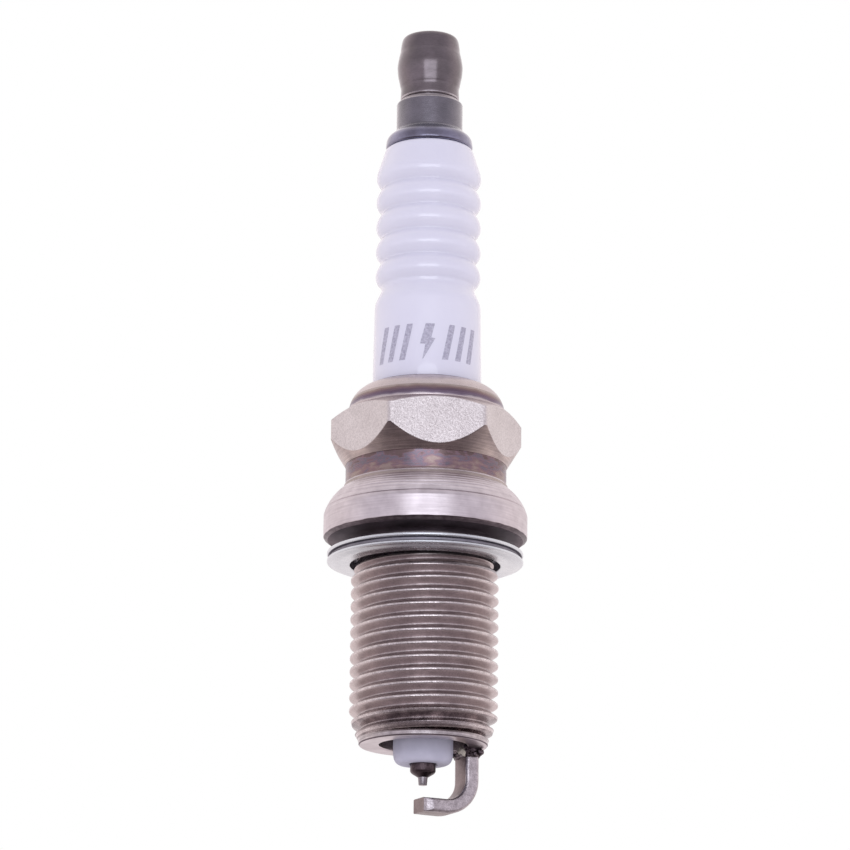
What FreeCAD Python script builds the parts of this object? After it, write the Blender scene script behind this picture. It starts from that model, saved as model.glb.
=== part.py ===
"""Spark plug with an M14 x 1.25 thread, 19 mm reach and a 16 mm hexagon.

The axis is Z. The origin is the centre of the shell's seat: the terminal points up
and the firing end points down. All lengths are in millimetres.
"""
import FreeCAD
import Part
import math
import os
import Sketcher

from FreeCAD import Placement, Rotation, Vector

ORIGIN = Vector(0, 0, 0)
UP = Vector(0, 0, 1)
TINY = 1e-9
# how far a bounding box may stray from the shape that it holds
TINY_BOX = 1e-3
# the numbers by which a sketch knows its own two axes
HORIZONTAL_AXIS = -1
VERTICAL_AXIS = -2

DIMENSIONS = {
    # terminal nut and stud
    "nut_top": 50.5,
    "nut_foot": 44.0,
    "nut_radius": 3.175,
    "nut_waist_radius": 2.75,
    "nut_waist_top": 45.0,
    "nut_foot_chamfer": 0.1,
    "nut_flare_arc": 5.0,
    "nut_land_low": 46.7,
    "nut_land_high": 47.7,
    "nut_taper_arc": 3.6,
    "nut_crown_radius": 2.7,
    "nut_crown_arc": 0.9,
    "nut_bore_radius": 2.03,
    "nut_bore_top": 49.6,
    "nut_hole_radius": 1.13,
    "nut_hole_foot": 50.0,
    "stud_radius": 1.95,
    "stud_top": 49.4,
    "stud_thread_pitch": 0.7,
    "stud_thread_depth": 0.4,
    "stud_neck_radius": 1.5,
    "stud_neck_top": 44.5,
    "stud_chamfer": 0.45,
    "collar_top": 43.9,
    "collar_radius": 3.2,
    "collar_foot": 40.75,
    "flange_radius": 4.2,
    "flange_rim": 39.3,
    "flange_arc": 1.35,
    "flange_edge": 0.1,
    "shank_radius": 1.9,
    "shank_foot": 12.5,
    "anchor_top": 16.5,
    "anchor_radius": 1.55,
    "anchor_chamfer": 0.3,
    "anchor_groove_pitch": 0.8,
    "anchor_groove_depth": 0.25,
    "anchor_groove_width": 0.28,
    # insulator
    "ceramic_top": 38.9,
    "ceramic_top_radius": 4.25,
    "ceramic_top_edge": 0.2,
    "ceramic_top_arc": 0.25,
    "crown_foot": 38.3,
    "crown_foot_radius": 4.37,
    "valley_radius": 4.44,
    "first_rib": 36.1,
    "rib_pitch": 2.49,
    "rib_half_height": 0.57,
    "rib_flank_radius": 4.76,
    "rib_arc": 0.84,
    "lowest_valley": 24.89,
    "shoulder_top": 23.9,
    "shoulder_top_radius": 4.67,
    "shoulder_foot": 23.3,
    "shoulder_radius": 5.07,
    "shoulder_arc": 0.6,
    "shoulder_hollow_arc": 0.9,
    "lowest_valley_arc": 0.8,
    "barrel_radius": 5.2,
    "barrel_foot": 17.5,
    "socket_radius": 5.25,
    "socket_top": 16.5,
    "head_top": 9.9,
    "head_shoulder": 9.3,
    "head_radius": 6.25,
    "head_foot": 2.6,
    "body_radius": 4.9,
    "body_top": 1.3,
    "nose_root_radius": 3.75,
    "nose_radius": 2.8,
    "nose_taper_radius": 2.9,
    "nose_taper_end": -17.3,
    "nose_end": -21.4,
    "nose_edge": 1.0,
    "core_bore_radius": 2.0,
    "electrode_bore_radius": 1.25,
    "electrode_step": -1.6,
    "electrode_step_foot": -2.0,
    # glass seals and resistor
    "upper_glass_top": 16.0,
    "upper_glass_foot": 9.2,
    "resistor_foot": 2.6,
    # centre electrode
    "electrode_radius": 1.2,
    "electrode_head_radius": 1.85,
    "electrode_head_top": -0.8,
    "electrode_head_foot": -1.65,
    "electrode_head_cone": -2.02,
    "electrode_peg_top": 0.2,
    "electrode_peg_radius": 1.0,
    "electrode_cone_top": -22.15,
    "electrode_cone_foot": -22.6,
    "electrode_cone_radius": 0.495,
    "copper_radius": 0.75,
    "copper_foot": -18.0,
    "tip_root_radius": 0.465,
    "tip_end_radius": 0.39,
    "tip_edge": 0.04,
    "tip_end": -23.35,
    # shell
    "lip_top": 15.0,
    "lip_radius": 5.3,
    "lip_foot": 14.25,
    "lip_foot_radius": 5.4,
    "lip_hollow_arc": 1.6,
    "dome_arc": 2.7,
    "dome_step": 0.15,
    "hex_top": 12.45,
    "hex_flats": 16.0,
    "hex_corner_radius": 9.15,
    "hex_top_radius": 7.6,
    "hex_upper_corner": 11.5,
    "hex_lower_corner": 9.6,
    "hex_turn": 7.5,
    "hex_cut_clearance": 0.3,
    "groove_top": 7.2,
    "groove_foot": 5.3,
    "groove_radius": 7.7,
    "groove_edge": 0.1,
    "collar_arc": 4.6,
    "collar_round_foot": 2.4,
    "seat_collar_radius": 9.67,
    "seat_edge": 0.28,
    "seat_radius": 9.27,
    "neck_radius": 6.35,
    "neck_end": -1.9,
    "thread_radius": 7.0,
    "thread_root_radius": 6.27,
    "thread_pitch": 1.25,
    "thread_top": -3.9,
    "thread_taper": -16.9,
    "thread_end_radius": 6.4,
    "thread_foot": -18.6,
    "thread_run_out": 0.7,
    "end_chamfer_foot": -19.2,
    "end_chamfer_radius": 6.1,
    "end_face_radius": 6.0,
    "reach": -19.65,
    "upper_bore_radius": 6.3,
    "upper_bore_top": 12.8,
    "upper_bore_foot": 1.9,
    "middle_bore_radius": 5.0,
    "middle_bore_top": 0.6,
    "inner_seat": -7.3,
    "inner_seat_drop": 0.85,
    "lower_bore_radius": 4.15,
    "washer_thickness": 0.45,
    # packing under the crimped lip
    "packing_wire_radius": 0.5,
    "lower_packing_height": 10.18,
    "upper_packing_height": 12.75,
    # crush gasket
    "gasket_foot": -2.5,
    "gasket_top": -1.15,
    "gasket_rim_radius": 9.16,
    "gasket_rim_foot": -2.2,
    "gasket_edge_arc": 0.26,
    "gasket_hole_radius": 7.1,
    "gasket_hole_edge": 0.1,
    "gasket_sheet": 0.46,
    "gasket_slot_root_radius": 8.3,
    "gasket_fold_top": -1.05,
    "gasket_fold_arc": 0.35,
    "gasket_fold_outer_radius": 8.0,
    "gasket_fold_middle_radius": 7.7,
    "gasket_fold_inner_radius": 7.15,
    "gasket_fold_inner_top": -1.1,
    "gasket_fold_foot_radius": 6.95,
    "gasket_bead_radius": 8.6,
    "gasket_lip_radius": 6.44,
    # ground electrode
    "strap_turn": 28.0,
    "strap_width": 2.6,
    "strap_thickness": 1.35,
    "strap_outer_radius": 5.35,
    "strap_foot": -25.95,
    "strap_bend_radius": 2.0,
    "strap_end": -0.4,
    "strap_cut_clearance": 0.3,
    "strap_taper_start": 0.5,
    "strap_taper_end": -0.1,
    "strap_end_width": 2.05,
    "strap_edge": 0.3,
    "weld_height": 0.9,
    "weld_spread": 0.38,
    "weld_edge": 0.3,
}


class Size:
    """A length with its value and the expression that ties it to the sheet."""

    def __init__(self, value, text):
        self.value = value
        self.text = text

    def combined(self, other, value, sign):
        other_text = other.text if isinstance(other, Size) else repr(other)
        return Size(value, f"({self.text} {sign} {other_text})")

    def __add__(self, other):
        return self.combined(other, self.value + plain(other), "+")

    def __sub__(self, other):
        return self.combined(other, self.value - plain(other), "-")

    def __mul__(self, other):
        return self.combined(other, self.value * plain(other), "*")

    def __truediv__(self, other):
        return self.combined(other, self.value / plain(other), "/")

    def __neg__(self):
        return Size(-self.value, f"(0 - {self.text})")


def plain(length):
    """The number held by a Size, or the number itself."""
    return length.value if isinstance(length, Size) else length


class Sizes:
    """The sheet's driving dimensions as named attributes."""

    def __init__(self, sheet, dimensions):
        for row, (alias, value) in enumerate(dimensions.items(), start=1):
            sheet.set(f"A{row}", alias)
            sheet.set(f"B{row}", str(value))
            sheet.setAlias(f"B{row}", alias)
            setattr(self, alias, Size(value, f"{sheet.Name}.{alias}"))


doc = FreeCAD.newDocument("SparkPlug")
sheet = doc.addObject("Spreadsheet::Sheet", "Sizes")
size = Sizes(sheet, DIMENSIONS)
doc.recompute()
subparts = []


# ---------------------------------------------------------------- building blocks
def new_body(label):
    """An empty body that is one sub-part of the plug."""
    body = doc.addObject("PartDesign::Body", label)
    body.Label = label
    subparts.append(body)
    return body


def origin_plane(body, role):
    return next(item for item in body.Origin.OriginFeatures if item.Role == role)


def new_sketch(body, name, role, height=0):
    """A sketch on one of the body's own origin planes, moved along its normal."""
    sketch = body.newObject("Sketcher::SketchObject", name)
    sketch.AttachmentSupport = [(origin_plane(body, role), "")]
    sketch.MapMode = "FlatFace"
    if isinstance(height, Size):
        sketch.setExpression("AttachmentOffset.Base.z", height.text)
    return sketch


def bind(sketch, constraint, length):
    """Adds a constraint and ties it to the sheet when its length comes from there."""
    index = sketch.addConstraint(constraint)
    if isinstance(length, Size):
        sketch.setExpression(f"Constraints[{index}]", length.text)
    return index


def fix_point(sketch, edge, end, point):
    """Holds one end of an edge at a place measured from the sketch's origin."""
    for kind, axis, length in (
        ("DistanceX", VERTICAL_AXIS, point[0]),
        ("DistanceY", HORIZONTAL_AXIS, point[1]),
    ):
        value = plain(length)
        if abs(value) < TINY:
            sketch.addConstraint(Sketcher.Constraint("PointOnObject", edge, end, axis))
        else:
            bind(sketch, Sketcher.Constraint(kind, -1, 1, edge, end, value), length)


def arc_through(start, end, radius):
    """The shorter arc between two points. A positive radius bulges to the right of travel."""
    chord = end - start
    middle = (start + end) / 2
    side = Vector(chord.y, -chord.x, 0).normalize()
    rise = math.sqrt(max(radius * radius - chord.Length**2 / 4, 0))
    turn = 1 if radius > 0 else -1
    centre = middle - side * rise * turn
    crown = centre + side * abs(radius) * turn
    return Part.Arc(start, crown, end)


def outline(sketch, points):
    """A closed outline of straight edges, and arcs where a point carries a radius.

    Each point is (across, up) or (across, up, radius of the arc to the next point).
    """
    places = [Vector(plain(point[0]), plain(point[1]), 0) for point in points]
    count = len(points)
    starts = []
    for index, point in enumerate(points):
        start = places[index]
        end = places[(index + 1) % count]
        if len(point) == 2:
            edge = sketch.addGeometry(Part.LineSegment(start, end), False)
            starts.append((edge, 1, 2))
            continue
        radius = plain(point[2])
        edge = sketch.addGeometry(arc_through(start, end, radius), False)
        # a sketch holds its arcs anticlockwise, so one of them may start at its far end
        near = (sketch.getPoint(edge, 1) - start).Length < 1e-6
        starts.append((edge, 1, 2) if near else (edge, 2, 1))
    for index, point in enumerate(points):
        edge, first, last = starts[index]
        next_edge, next_first, _ = starts[(index + 1) % count]
        sketch.addConstraint(
            Sketcher.Constraint("Coincident", edge, last, next_edge, next_first)
        )
        fix_point(sketch, edge, first, point)
        if len(point) == 3:
            radius = point[2] if plain(point[2]) > 0 else -point[2]
            bind(sketch, Sketcher.Constraint("Radius", edge, plain(radius)), radius)
    return sketch


def revolve(body, name, points):
    """Turns an outline of (radius, height) points about Z."""
    sketch = outline(new_sketch(body, f"{name}_outline", "XZ_Plane"), points)
    turned = body.newObject("PartDesign::Revolution", name)
    turned.Profile = sketch
    turned.ReferenceAxis = (sketch, ["V_Axis"])
    turned.Angle = 360
    return turned


def groove(body, name, points):
    """Cuts an outline of (radius, height) points out of the body all round."""
    sketch = outline(new_sketch(body, f"{name}_outline", "XZ_Plane"), points)
    cut = body.newObject("PartDesign::Groove", name)
    cut.Profile = sketch
    cut.ReferenceAxis = (sketch, ["V_Axis"])
    cut.Angle = 360
    return cut


def turned_part(label, points):
    """A sub-part that is one turned outline."""
    body = new_body(label)
    revolve(body, f"{label}_turned", points)
    return body


def thread_groove(body, name, root, depth, pitch, foot, length):
    """Cuts a right-hand 60 degree thread into the outside of a body."""
    beyond_crest = 0.25
    half_root = 0.05
    mouth_depth = depth + beyond_crest
    half_mouth = mouth_depth * math.tan(math.radians(30)) + half_root
    sketch = outline(
        new_sketch(body, f"{name}_tooth", "XZ_Plane"),
        [
            (root, foot - half_root),
            (root + mouth_depth, foot - half_mouth),
            (root + mouth_depth, foot + half_mouth),
            (root, foot + half_root),
        ],
    )
    helix = body.newObject("PartDesign::SubtractiveHelix", name)
    helix.Profile = sketch
    helix.ReferenceAxis = (sketch, ["V_Axis"])
    helix.Mode = "pitch-height-angle"
    helix.setExpression("Pitch", pitch.text)
    helix.setExpression("Height", length.text)
    helix.Angle = 0
    helix.LeftHanded = False
    helix.Reversed = False
    return helix


# ---------------------------------------------------------------- terminal
def make_terminal_nut():
    """Barrel nut with a waist below its bulge, and a plain bore round the stud."""
    chamfer = size.nut_foot_chamfer
    crown = size.nut_crown_arc
    turned_part(
        "terminal_nut",
        [
            (size.nut_bore_radius, size.nut_foot),
            (size.nut_waist_radius - chamfer, size.nut_foot),
            (size.nut_waist_radius, size.nut_foot + chamfer),
            (size.nut_waist_radius, size.nut_waist_top, size.nut_flare_arc),
            (size.nut_radius, size.nut_land_low),
            (size.nut_radius, size.nut_land_high, size.nut_taper_arc),
            (size.nut_crown_radius, size.nut_top - crown, crown),
            (size.nut_crown_radius - crown, size.nut_top),
            (size.nut_hole_radius, size.nut_top),
            (size.nut_hole_radius, size.nut_hole_foot),
            (size.nut_bore_radius, size.nut_bore_top),
        ],
    )


def make_terminal_stud():
    """M4 stud, collar, flange and the long shank with its grooved foot, in one piece."""
    body = turned_part(
        "terminal_stud",
        [
            (0, size.shank_foot),
            (size.anchor_radius - size.anchor_chamfer, size.shank_foot),
            (size.anchor_radius, size.shank_foot + size.anchor_chamfer),
            (size.anchor_radius, size.anchor_top - size.anchor_chamfer),
            (size.shank_radius, size.anchor_top),
            (size.shank_radius, size.ceramic_top),
            (size.flange_radius - size.flange_edge, size.ceramic_top),
            (size.flange_radius, size.ceramic_top + size.flange_edge),
            (size.flange_radius, size.flange_rim, size.flange_arc),
            (size.collar_radius, size.collar_foot),
            (size.collar_radius, size.collar_top - size.stud_chamfer),
            (size.nut_waist_radius, size.collar_top),
            (size.stud_neck_radius, size.collar_top),
            (size.stud_neck_radius, size.stud_neck_top),
            (size.stud_radius, size.stud_neck_top + size.stud_chamfer),
            (size.stud_radius, size.stud_top - size.stud_chamfer),
            (size.stud_neck_radius, size.stud_top),
            (0, size.stud_top),
        ],
    )
    thread_groove(
        body,
        "stud_thread",
        size.stud_radius - size.stud_thread_depth,
        size.stud_thread_depth,
        size.stud_thread_pitch,
        size.stud_neck_top,
        size.stud_top - size.stud_neck_top + size.stud_thread_pitch,
    )
    depth = size.anchor_groove_depth
    half_width = size.anchor_groove_width / 2
    for ring in range(1, 5):
        height = size.shank_foot + size.anchor_groove_pitch * (ring - 0.25)
        groove(
            body,
            f"anchor_groove_{ring}",
            [
                (size.anchor_radius - depth, height),
                (size.anchor_radius, height - half_width),
                (size.anchor_radius, height + half_width),
            ],
        )


# ---------------------------------------------------------------- insulator
def rib_outline():
    """The five ribs from the bottom up: rounded crests with rounded valleys between them."""
    points = []
    for rib in range(4, -1, -1):
        crest = size.first_rib - size.rib_pitch * rib
        flank = size.rib_flank_radius
        points.append((flank, crest - size.rib_half_height, size.rib_arc))
        points.append((flank, crest + size.rib_half_height, -size.rib_arc))
    points[-1] = points[-1][:2]
    return points


def make_insulator():
    """Ribbed alumina body with its bore, its head inside the shell and its long nose."""
    seat = size.inner_seat + size.washer_thickness - size.middle_bore_radius
    edge = size.ceramic_top_edge
    turned_part(
        "insulator",
        [
            (size.electrode_bore_radius, size.nose_end),
            (size.nose_radius - size.nose_edge, size.nose_end, size.nose_edge),
            (size.nose_radius, size.nose_end + size.nose_edge),
            (size.nose_taper_radius, size.nose_taper_end),
            (size.nose_root_radius, seat + size.nose_root_radius),
            (size.body_radius, seat + size.body_radius),
            (size.body_radius, size.body_top),
            (size.head_radius, size.head_foot),
            (size.head_radius, size.head_shoulder),
            (size.socket_radius, size.head_top),
            (size.socket_radius, size.socket_top),
            (size.barrel_radius, size.barrel_foot),
            (size.shoulder_radius, size.shoulder_foot, size.shoulder_arc),
            (size.shoulder_top_radius, size.shoulder_top, -size.shoulder_hollow_arc),
            (size.valley_radius, size.lowest_valley, -size.lowest_valley_arc),
        ]
        + rib_outline()
        + [
            (size.crown_foot_radius, size.crown_foot),
            (size.ceramic_top_radius, size.ceramic_top - edge, size.ceramic_top_arc),
            (size.ceramic_top_radius - edge, size.ceramic_top),
            (size.core_bore_radius, size.ceramic_top),
            (size.core_bore_radius, size.electrode_step),
            (size.electrode_bore_radius, size.electrode_step_foot),
        ],
    )


def make_bore_filling():
    """Glass, resistor and glass, stacked in the insulator's bore between stud and electrode."""
    turned_part(
        "upper_glass_seal",
        [
            (0, size.upper_glass_foot),
            (size.core_bore_radius, size.upper_glass_foot),
            (size.core_bore_radius, size.upper_glass_top),
            (size.anchor_radius, size.upper_glass_top),
            (size.anchor_radius, size.shank_foot + size.anchor_chamfer),
            (size.anchor_radius - size.anchor_chamfer, size.shank_foot),
            (0, size.shank_foot),
        ],
    )
    turned_part(
        "resistor",
        [
            (0, size.resistor_foot),
            (size.core_bore_radius, size.resistor_foot),
            (size.core_bore_radius, size.upper_glass_foot),
            (0, size.upper_glass_foot),
        ],
    )
    turned_part(
        "lower_glass_seal",
        [
            (0, size.electrode_peg_top),
            (size.electrode_peg_radius, size.electrode_peg_top),
            (size.electrode_peg_radius, size.electrode_head_top),
            (size.core_bore_radius, size.electrode_head_top),
            (size.core_bore_radius, size.resistor_foot),
            (0, size.resistor_foot),
        ],
    )


def make_centre_electrode():
    """Nickel electrode with a head that sits on the insulator's step, and its copper core."""
    copper_round = size.copper_foot + size.copper_radius
    turned_part(
        "centre_electrode",
        [
            (0, size.electrode_cone_foot),
            (size.electrode_cone_radius, size.electrode_cone_foot),
            (size.electrode_radius, size.electrode_cone_top),
            (size.electrode_radius, size.electrode_head_cone),
            (size.electrode_head_radius, size.electrode_head_foot),
            (size.electrode_head_radius, size.electrode_head_top),
            (size.electrode_peg_radius, size.electrode_head_top),
            (size.electrode_peg_radius, size.electrode_peg_top),
            (size.copper_radius, size.electrode_peg_top),
            (size.copper_radius, copper_round, -size.copper_radius),
            (0, size.copper_foot),
        ],
    )
    turned_part(
        "electrode_copper_core",
        [
            (0, size.copper_foot, size.copper_radius),
            (size.copper_radius, copper_round),
            (size.copper_radius, size.electrode_peg_top),
            (0, size.electrode_peg_top),
        ],
    )
    turned_part(
        "firing_tip",
        [
            (0, size.tip_end),
            (size.tip_end_radius - size.tip_edge, size.tip_end),
            (size.tip_end_radius, size.tip_end + size.tip_edge),
            (size.tip_root_radius, size.electrode_cone_foot),
            (0, size.electrode_cone_foot),
        ],
    )


# ---------------------------------------------------------------- shell
def make_shell():
    """Steel shell: crimped lip, hexagon, thin groove, seat collar, neck and thread."""
    step = size.dome_step
    thread_start = size.reach - size.thread_run_out
    body = turned_part(
        "shell",
        [
            (size.lower_bore_radius, size.reach),
            (size.end_face_radius, size.reach),
            (size.end_chamfer_radius, size.end_chamfer_foot),
            (size.thread_end_radius, size.thread_foot),
            (size.thread_radius, size.thread_taper),
            (size.thread_radius, size.thread_top),
            (size.neck_radius, size.neck_end),
            (size.neck_radius, 0),
            (size.seat_radius, 0),
            (size.seat_collar_radius, size.seat_edge),
            (size.seat_collar_radius, size.collar_round_foot, size.collar_arc),
            (size.groove_radius + size.groove_edge, size.groove_foot - size.groove_edge),
            (size.groove_radius, size.groove_foot),
            (size.groove_radius, size.groove_top),
            (size.hex_corner_radius, size.hex_lower_corner),
            (size.hex_corner_radius, size.hex_upper_corner),
            (size.hex_top_radius, size.hex_top),
            (size.hex_top_radius - step, size.hex_top + step, size.dome_arc),
            (size.lip_radius, size.lip_top),
            (size.lip_foot_radius, size.lip_foot, -size.lip_hollow_arc),
            (size.upper_bore_radius, size.upper_bore_top),
            (size.upper_bore_radius, size.upper_bore_foot),
            (size.middle_bore_radius, size.middle_bore_top),
            (size.middle_bore_radius, size.inner_seat),
            (size.lower_bore_radius, size.inner_seat - size.inner_seat_drop),
        ],
    )
    cut_hexagon(body)
    thread_groove(
        body,
        "shell_thread",
        size.thread_root_radius,
        size.thread_radius - size.thread_root_radius,
        size.thread_pitch,
        thread_start,
        size.neck_end - thread_start,
    )


def cut_hexagon(body):
    """Cuts the six flats: a ring with a hexagonal hole, pushed down over the blank."""
    cut_top = size.hex_top + size.hex_cut_clearance
    sketch = new_sketch(body, "hexagon", "XY_Plane", cut_top)
    flats = size.hex_flats
    corner = flats.value / math.sqrt(3)
    turn = math.radians(DIMENSIONS["hex_turn"])
    corners = [
        Vector(
            corner * math.cos(turn + math.radians(60 * side)),
            corner * math.sin(turn + math.radians(60 * side)),
            0,
        )
        for side in range(6)
    ]
    for side in range(6):
        sketch.addGeometry(Part.LineSegment(corners[side], corners[(side + 1) % 6]), False)
    outer = sketch.addGeometry(Part.Circle(ORIGIN, UP, corner), True)
    for side in range(6):
        following = (side + 1) % 6
        sketch.addConstraint(Sketcher.Constraint("Coincident", side, 2, following, 1))
        sketch.addConstraint(Sketcher.Constraint("PointOnObject", side, 1, outer))
        if side:
            sketch.addConstraint(Sketcher.Constraint("Equal", 0, side))
    sketch.addConstraint(Sketcher.Constraint("Coincident", outer, 3, -1, 1))
    bind(sketch, Sketcher.Constraint("Radius", outer, corner), flats / math.sqrt(3))
    slope = sketch.addConstraint(
        Sketcher.Constraint("Angle", -1, 1, 0, 1, turn + math.radians(120))
    )
    sketch.setExpression(f"Constraints[{slope}]", "(120 + Sizes.hex_turn) * 1 deg")
    clear = size.hex_corner_radius + size.hex_cut_clearance
    rim = sketch.addGeometry(Part.Circle(ORIGIN, UP, clear.value), False)
    sketch.addConstraint(Sketcher.Constraint("Coincident", rim, 3, -1, 1))
    bind(sketch, Sketcher.Constraint("Radius", rim, clear.value), clear)
    pocket = body.newObject("PartDesign::Pocket", "hexagon_flats")
    pocket.Profile = sketch
    pocket.setExpression("Length", (cut_top - size.groove_top).text)


# ---------------------------------------------------------------- packing and washers
def make_packing():
    """Two wire rings with talc between them, under the crimped lip, and the inner washer."""
    inside = size.socket_radius
    outside = size.upper_bore_radius
    wire = size.packing_wire_radius
    middle = (inside + outside) / 2
    for label, height in (
        ("lower_packing_ring", size.lower_packing_height),
        ("upper_packing_ring", size.upper_packing_height),
    ):
        body = new_body(label)
        ring = body.newObject("PartDesign::AdditiveTorus", f"{label}_wire")
        ring.setExpression("Radius1", middle.text)
        ring.setExpression("Radius2", wire.text)
        body.setExpression("Placement.Base.z", height.text)
    turned_part(
        "talc_packing",
        [
            (inside, size.lower_packing_height + wire),
            (outside, size.lower_packing_height + wire),
            (outside, size.upper_packing_height - wire),
            (inside, size.upper_packing_height - wire),
        ],
    )
    drop = size.inner_seat_drop
    thickness = size.washer_thickness
    turned_part(
        "inner_seat_washer",
        [
            (size.lower_bore_radius, size.inner_seat - drop),
            (size.middle_bore_radius, size.inner_seat),
            (size.middle_bore_radius, size.inner_seat + thickness),
            (size.lower_bore_radius, size.inner_seat - drop + thickness),
        ],
    )


def make_crush_gasket():
    """Folded sheet-metal washer: two layers at the rim, a fold inside and a captive lip."""
    gauge = size.gasket_sheet
    foot = size.gasket_foot
    rim = size.gasket_rim_radius
    rim_foot = size.gasket_rim_foot
    top = size.gasket_top
    edge = size.gasket_edge_arc
    hole = size.gasket_hole_radius
    turned_part(
        "crush_gasket",
        [
            (hole, foot + size.gasket_hole_edge),
            (hole + size.gasket_hole_edge, foot),
            (size.gasket_bead_radius, foot),
            (rim, rim_foot, edge),
            (rim, rim_foot + gauge),
            (size.gasket_slot_root_radius, rim_foot + gauge),
            (size.gasket_slot_root_radius, top - gauge),
            (rim, top - gauge, edge),
            (rim, top),
            (size.gasket_fold_outer_radius, top),
            (size.gasket_fold_middle_radius, size.gasket_fold_top, size.gasket_fold_arc),
            (size.gasket_fold_inner_radius, size.gasket_fold_inner_top),
            (size.gasket_fold_foot_radius, top),
            (size.gasket_lip_radius, top),
            (size.gasket_lip_radius, top - gauge),
            (hole, top - gauge),
        ],
    )


# ---------------------------------------------------------------- ground electrode
def make_ground_electrode():
    """Strap bent inwards under the tip, narrowed at its end, with its weld bead."""
    outer = size.strap_outer_radius
    inner = outer - size.strap_thickness
    foot = size.strap_foot
    inside = foot + size.strap_thickness
    bend = size.strap_bend_radius
    outer_bend = bend + size.strap_thickness
    half = size.strap_width / 2
    beyond = size.strap_cut_clearance
    body = new_body("ground_electrode")
    sketch = outline(
        new_sketch(body, "strap_side", "XZ_Plane"),
        [
            (size.strap_end, foot),
            (outer - outer_bend, foot, outer_bend),
            (outer, foot + outer_bend),
            (outer, size.reach),
            (inner, size.reach),
            (inner, inside + bend, -bend),
            (inner - bend, inside),
            (size.strap_end, inside),
        ],
    )
    strap = body.newObject("PartDesign::Pad", "strap")
    strap.Profile = sketch
    strap.setExpression("Length", size.strap_width.text)
    strap.Midplane = True
    doc.recompute()
    long_edges = [
        f"Edge{number}"
        for number, edge in enumerate(body.Shape.Edges, start=1)
        if is_strap_corner(edge)
    ]
    rounded = body.newObject("PartDesign::Fillet", "strap_edges")
    rounded.Base = (strap, long_edges)
    rounded.setExpression("Radius", size.strap_edge.text)
    for name, side in (("left", 1), ("right", -1)):
        narrow = size.strap_end_width / 2 * side
        clear = (half + beyond) * side
        corner = outline(
            new_sketch(body, f"{name}_taper_plan", "XY_Plane", foot - beyond),
            [
                (size.strap_taper_start, half * side),
                (size.strap_taper_start, clear),
                (size.strap_end - beyond, clear),
                (size.strap_end - beyond, narrow),
                (size.strap_taper_end, narrow),
            ],
        )
        taper = body.newObject("PartDesign::Pocket", f"{name}_taper")
        taper.Profile = corner
        taper.Reversed = True
        taper.setExpression("Length", (size.strap_thickness + beyond * 2).text)
    body.Placement = Placement(ORIGIN, Rotation(UP, DIMENSIONS["strap_turn"]))
    body.setExpression("Placement.Rotation.Angle", "Sizes.strap_turn * 1 deg")
    make_ground_weld(inner, outer, half)


def is_strap_corner(edge):
    """The strap's long edges lie on its two narrow sides, and leave out its two end faces."""
    box = edge.BoundBox
    on_side = box.YLength < TINY_BOX
    at_foot = box.ZMin > DIMENSIONS["reach"] - TINY_BOX
    at_end = box.XMax < DIMENSIONS["strap_end"] + TINY_BOX
    return on_side and not at_foot and not at_end


def make_ground_weld(inner, outer, half):
    """Low bead of weld metal round the strap's foot, on the shell's end face."""
    body = new_body("ground_weld")
    spread = size.weld_spread
    foot = size.reach - size.weld_height
    beyond = size.strap_cut_clearance
    sketch = outline(
        new_sketch(body, "bead_plan", "XY_Plane", size.reach),
        [
            (inner, -half - spread),
            (outer + spread, -half - spread),
            (outer + spread, half + spread),
            (inner, half + spread),
        ],
    )
    bead = body.newObject("PartDesign::Pad", "bead")
    bead.Profile = sketch
    bead.Reversed = True
    bead.setExpression("Length", size.weld_height.text)
    doc.recompute()
    low_edges = [
        f"Edge{number}"
        for number, edge in enumerate(body.Shape.Edges, start=1)
        if edge.BoundBox.ZMax < foot.value + TINY_BOX
    ]
    rounded = body.newObject("PartDesign::Chamfer", "bead_edges")
    rounded.Base = (bead, low_edges)
    rounded.setExpression("Size", size.weld_edge.text)
    opening = outline(
        new_sketch(body, "strap_opening_plan", "XY_Plane", foot - beyond),
        [
            (inner, -half),
            (outer, -half),
            (outer, half),
            (inner, half),
        ],
    )
    cut = body.newObject("PartDesign::Pocket", "strap_opening")
    cut.Profile = opening
    cut.Reversed = True
    cut.setExpression("Length", (size.weld_height + beyond * 2).text)
    body.Placement = Placement(ORIGIN, Rotation(UP, DIMENSIONS["strap_turn"]))
    body.setExpression("Placement.Rotation.Angle", "Sizes.strap_turn * 1 deg")


# ---------------------------------------------------------------- document
def check_document():
    """Stops with a plain message if any object failed or any sub-part has no sound shape."""
    for item in doc.Objects:
        if "Invalid" in item.State or "Error" in item.State:
            raise RuntimeError(f"{item.Label} did not recompute: {item.State}")
    for body in subparts:
        if body.Shape.isNull() or not body.Shape.isValid():
            raise RuntimeError(f"{body.Label} has no valid shape")
        if len(body.Shape.Solids) != 1:
            raise RuntimeError(f"{body.Label} has {len(body.Shape.Solids)} solids")


def export_subparts():
    os.makedirs("parts", exist_ok=True)
    for body in subparts:
        body.Shape.exportStep(f"parts/{body.Label}.step")
        box = body.Shape.BoundBox
        print(
            f"{body.Label:24} volume {body.Shape.Volume:9.2f} mm3, "
            f"z {box.ZMin:7.2f} to {box.ZMax:7.2f}, radius {box.XMax:5.2f}"
        )


make_terminal_nut()
make_terminal_stud()
make_insulator()
make_bore_filling()
make_centre_electrode()
make_shell()
make_packing()
make_crush_gasket()
make_ground_electrode()
doc.recompute()
check_document()
export_subparts()
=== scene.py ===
"""Looks of the spark plug: detailed pieces, procedural materials, studio light and camera.

Profiles are written in millimetres above the shell's seat and turned into metres by MM.
"""
import math

import bmesh
import bpy
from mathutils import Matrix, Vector
from mathutils.noise import noise as solid_noise


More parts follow.
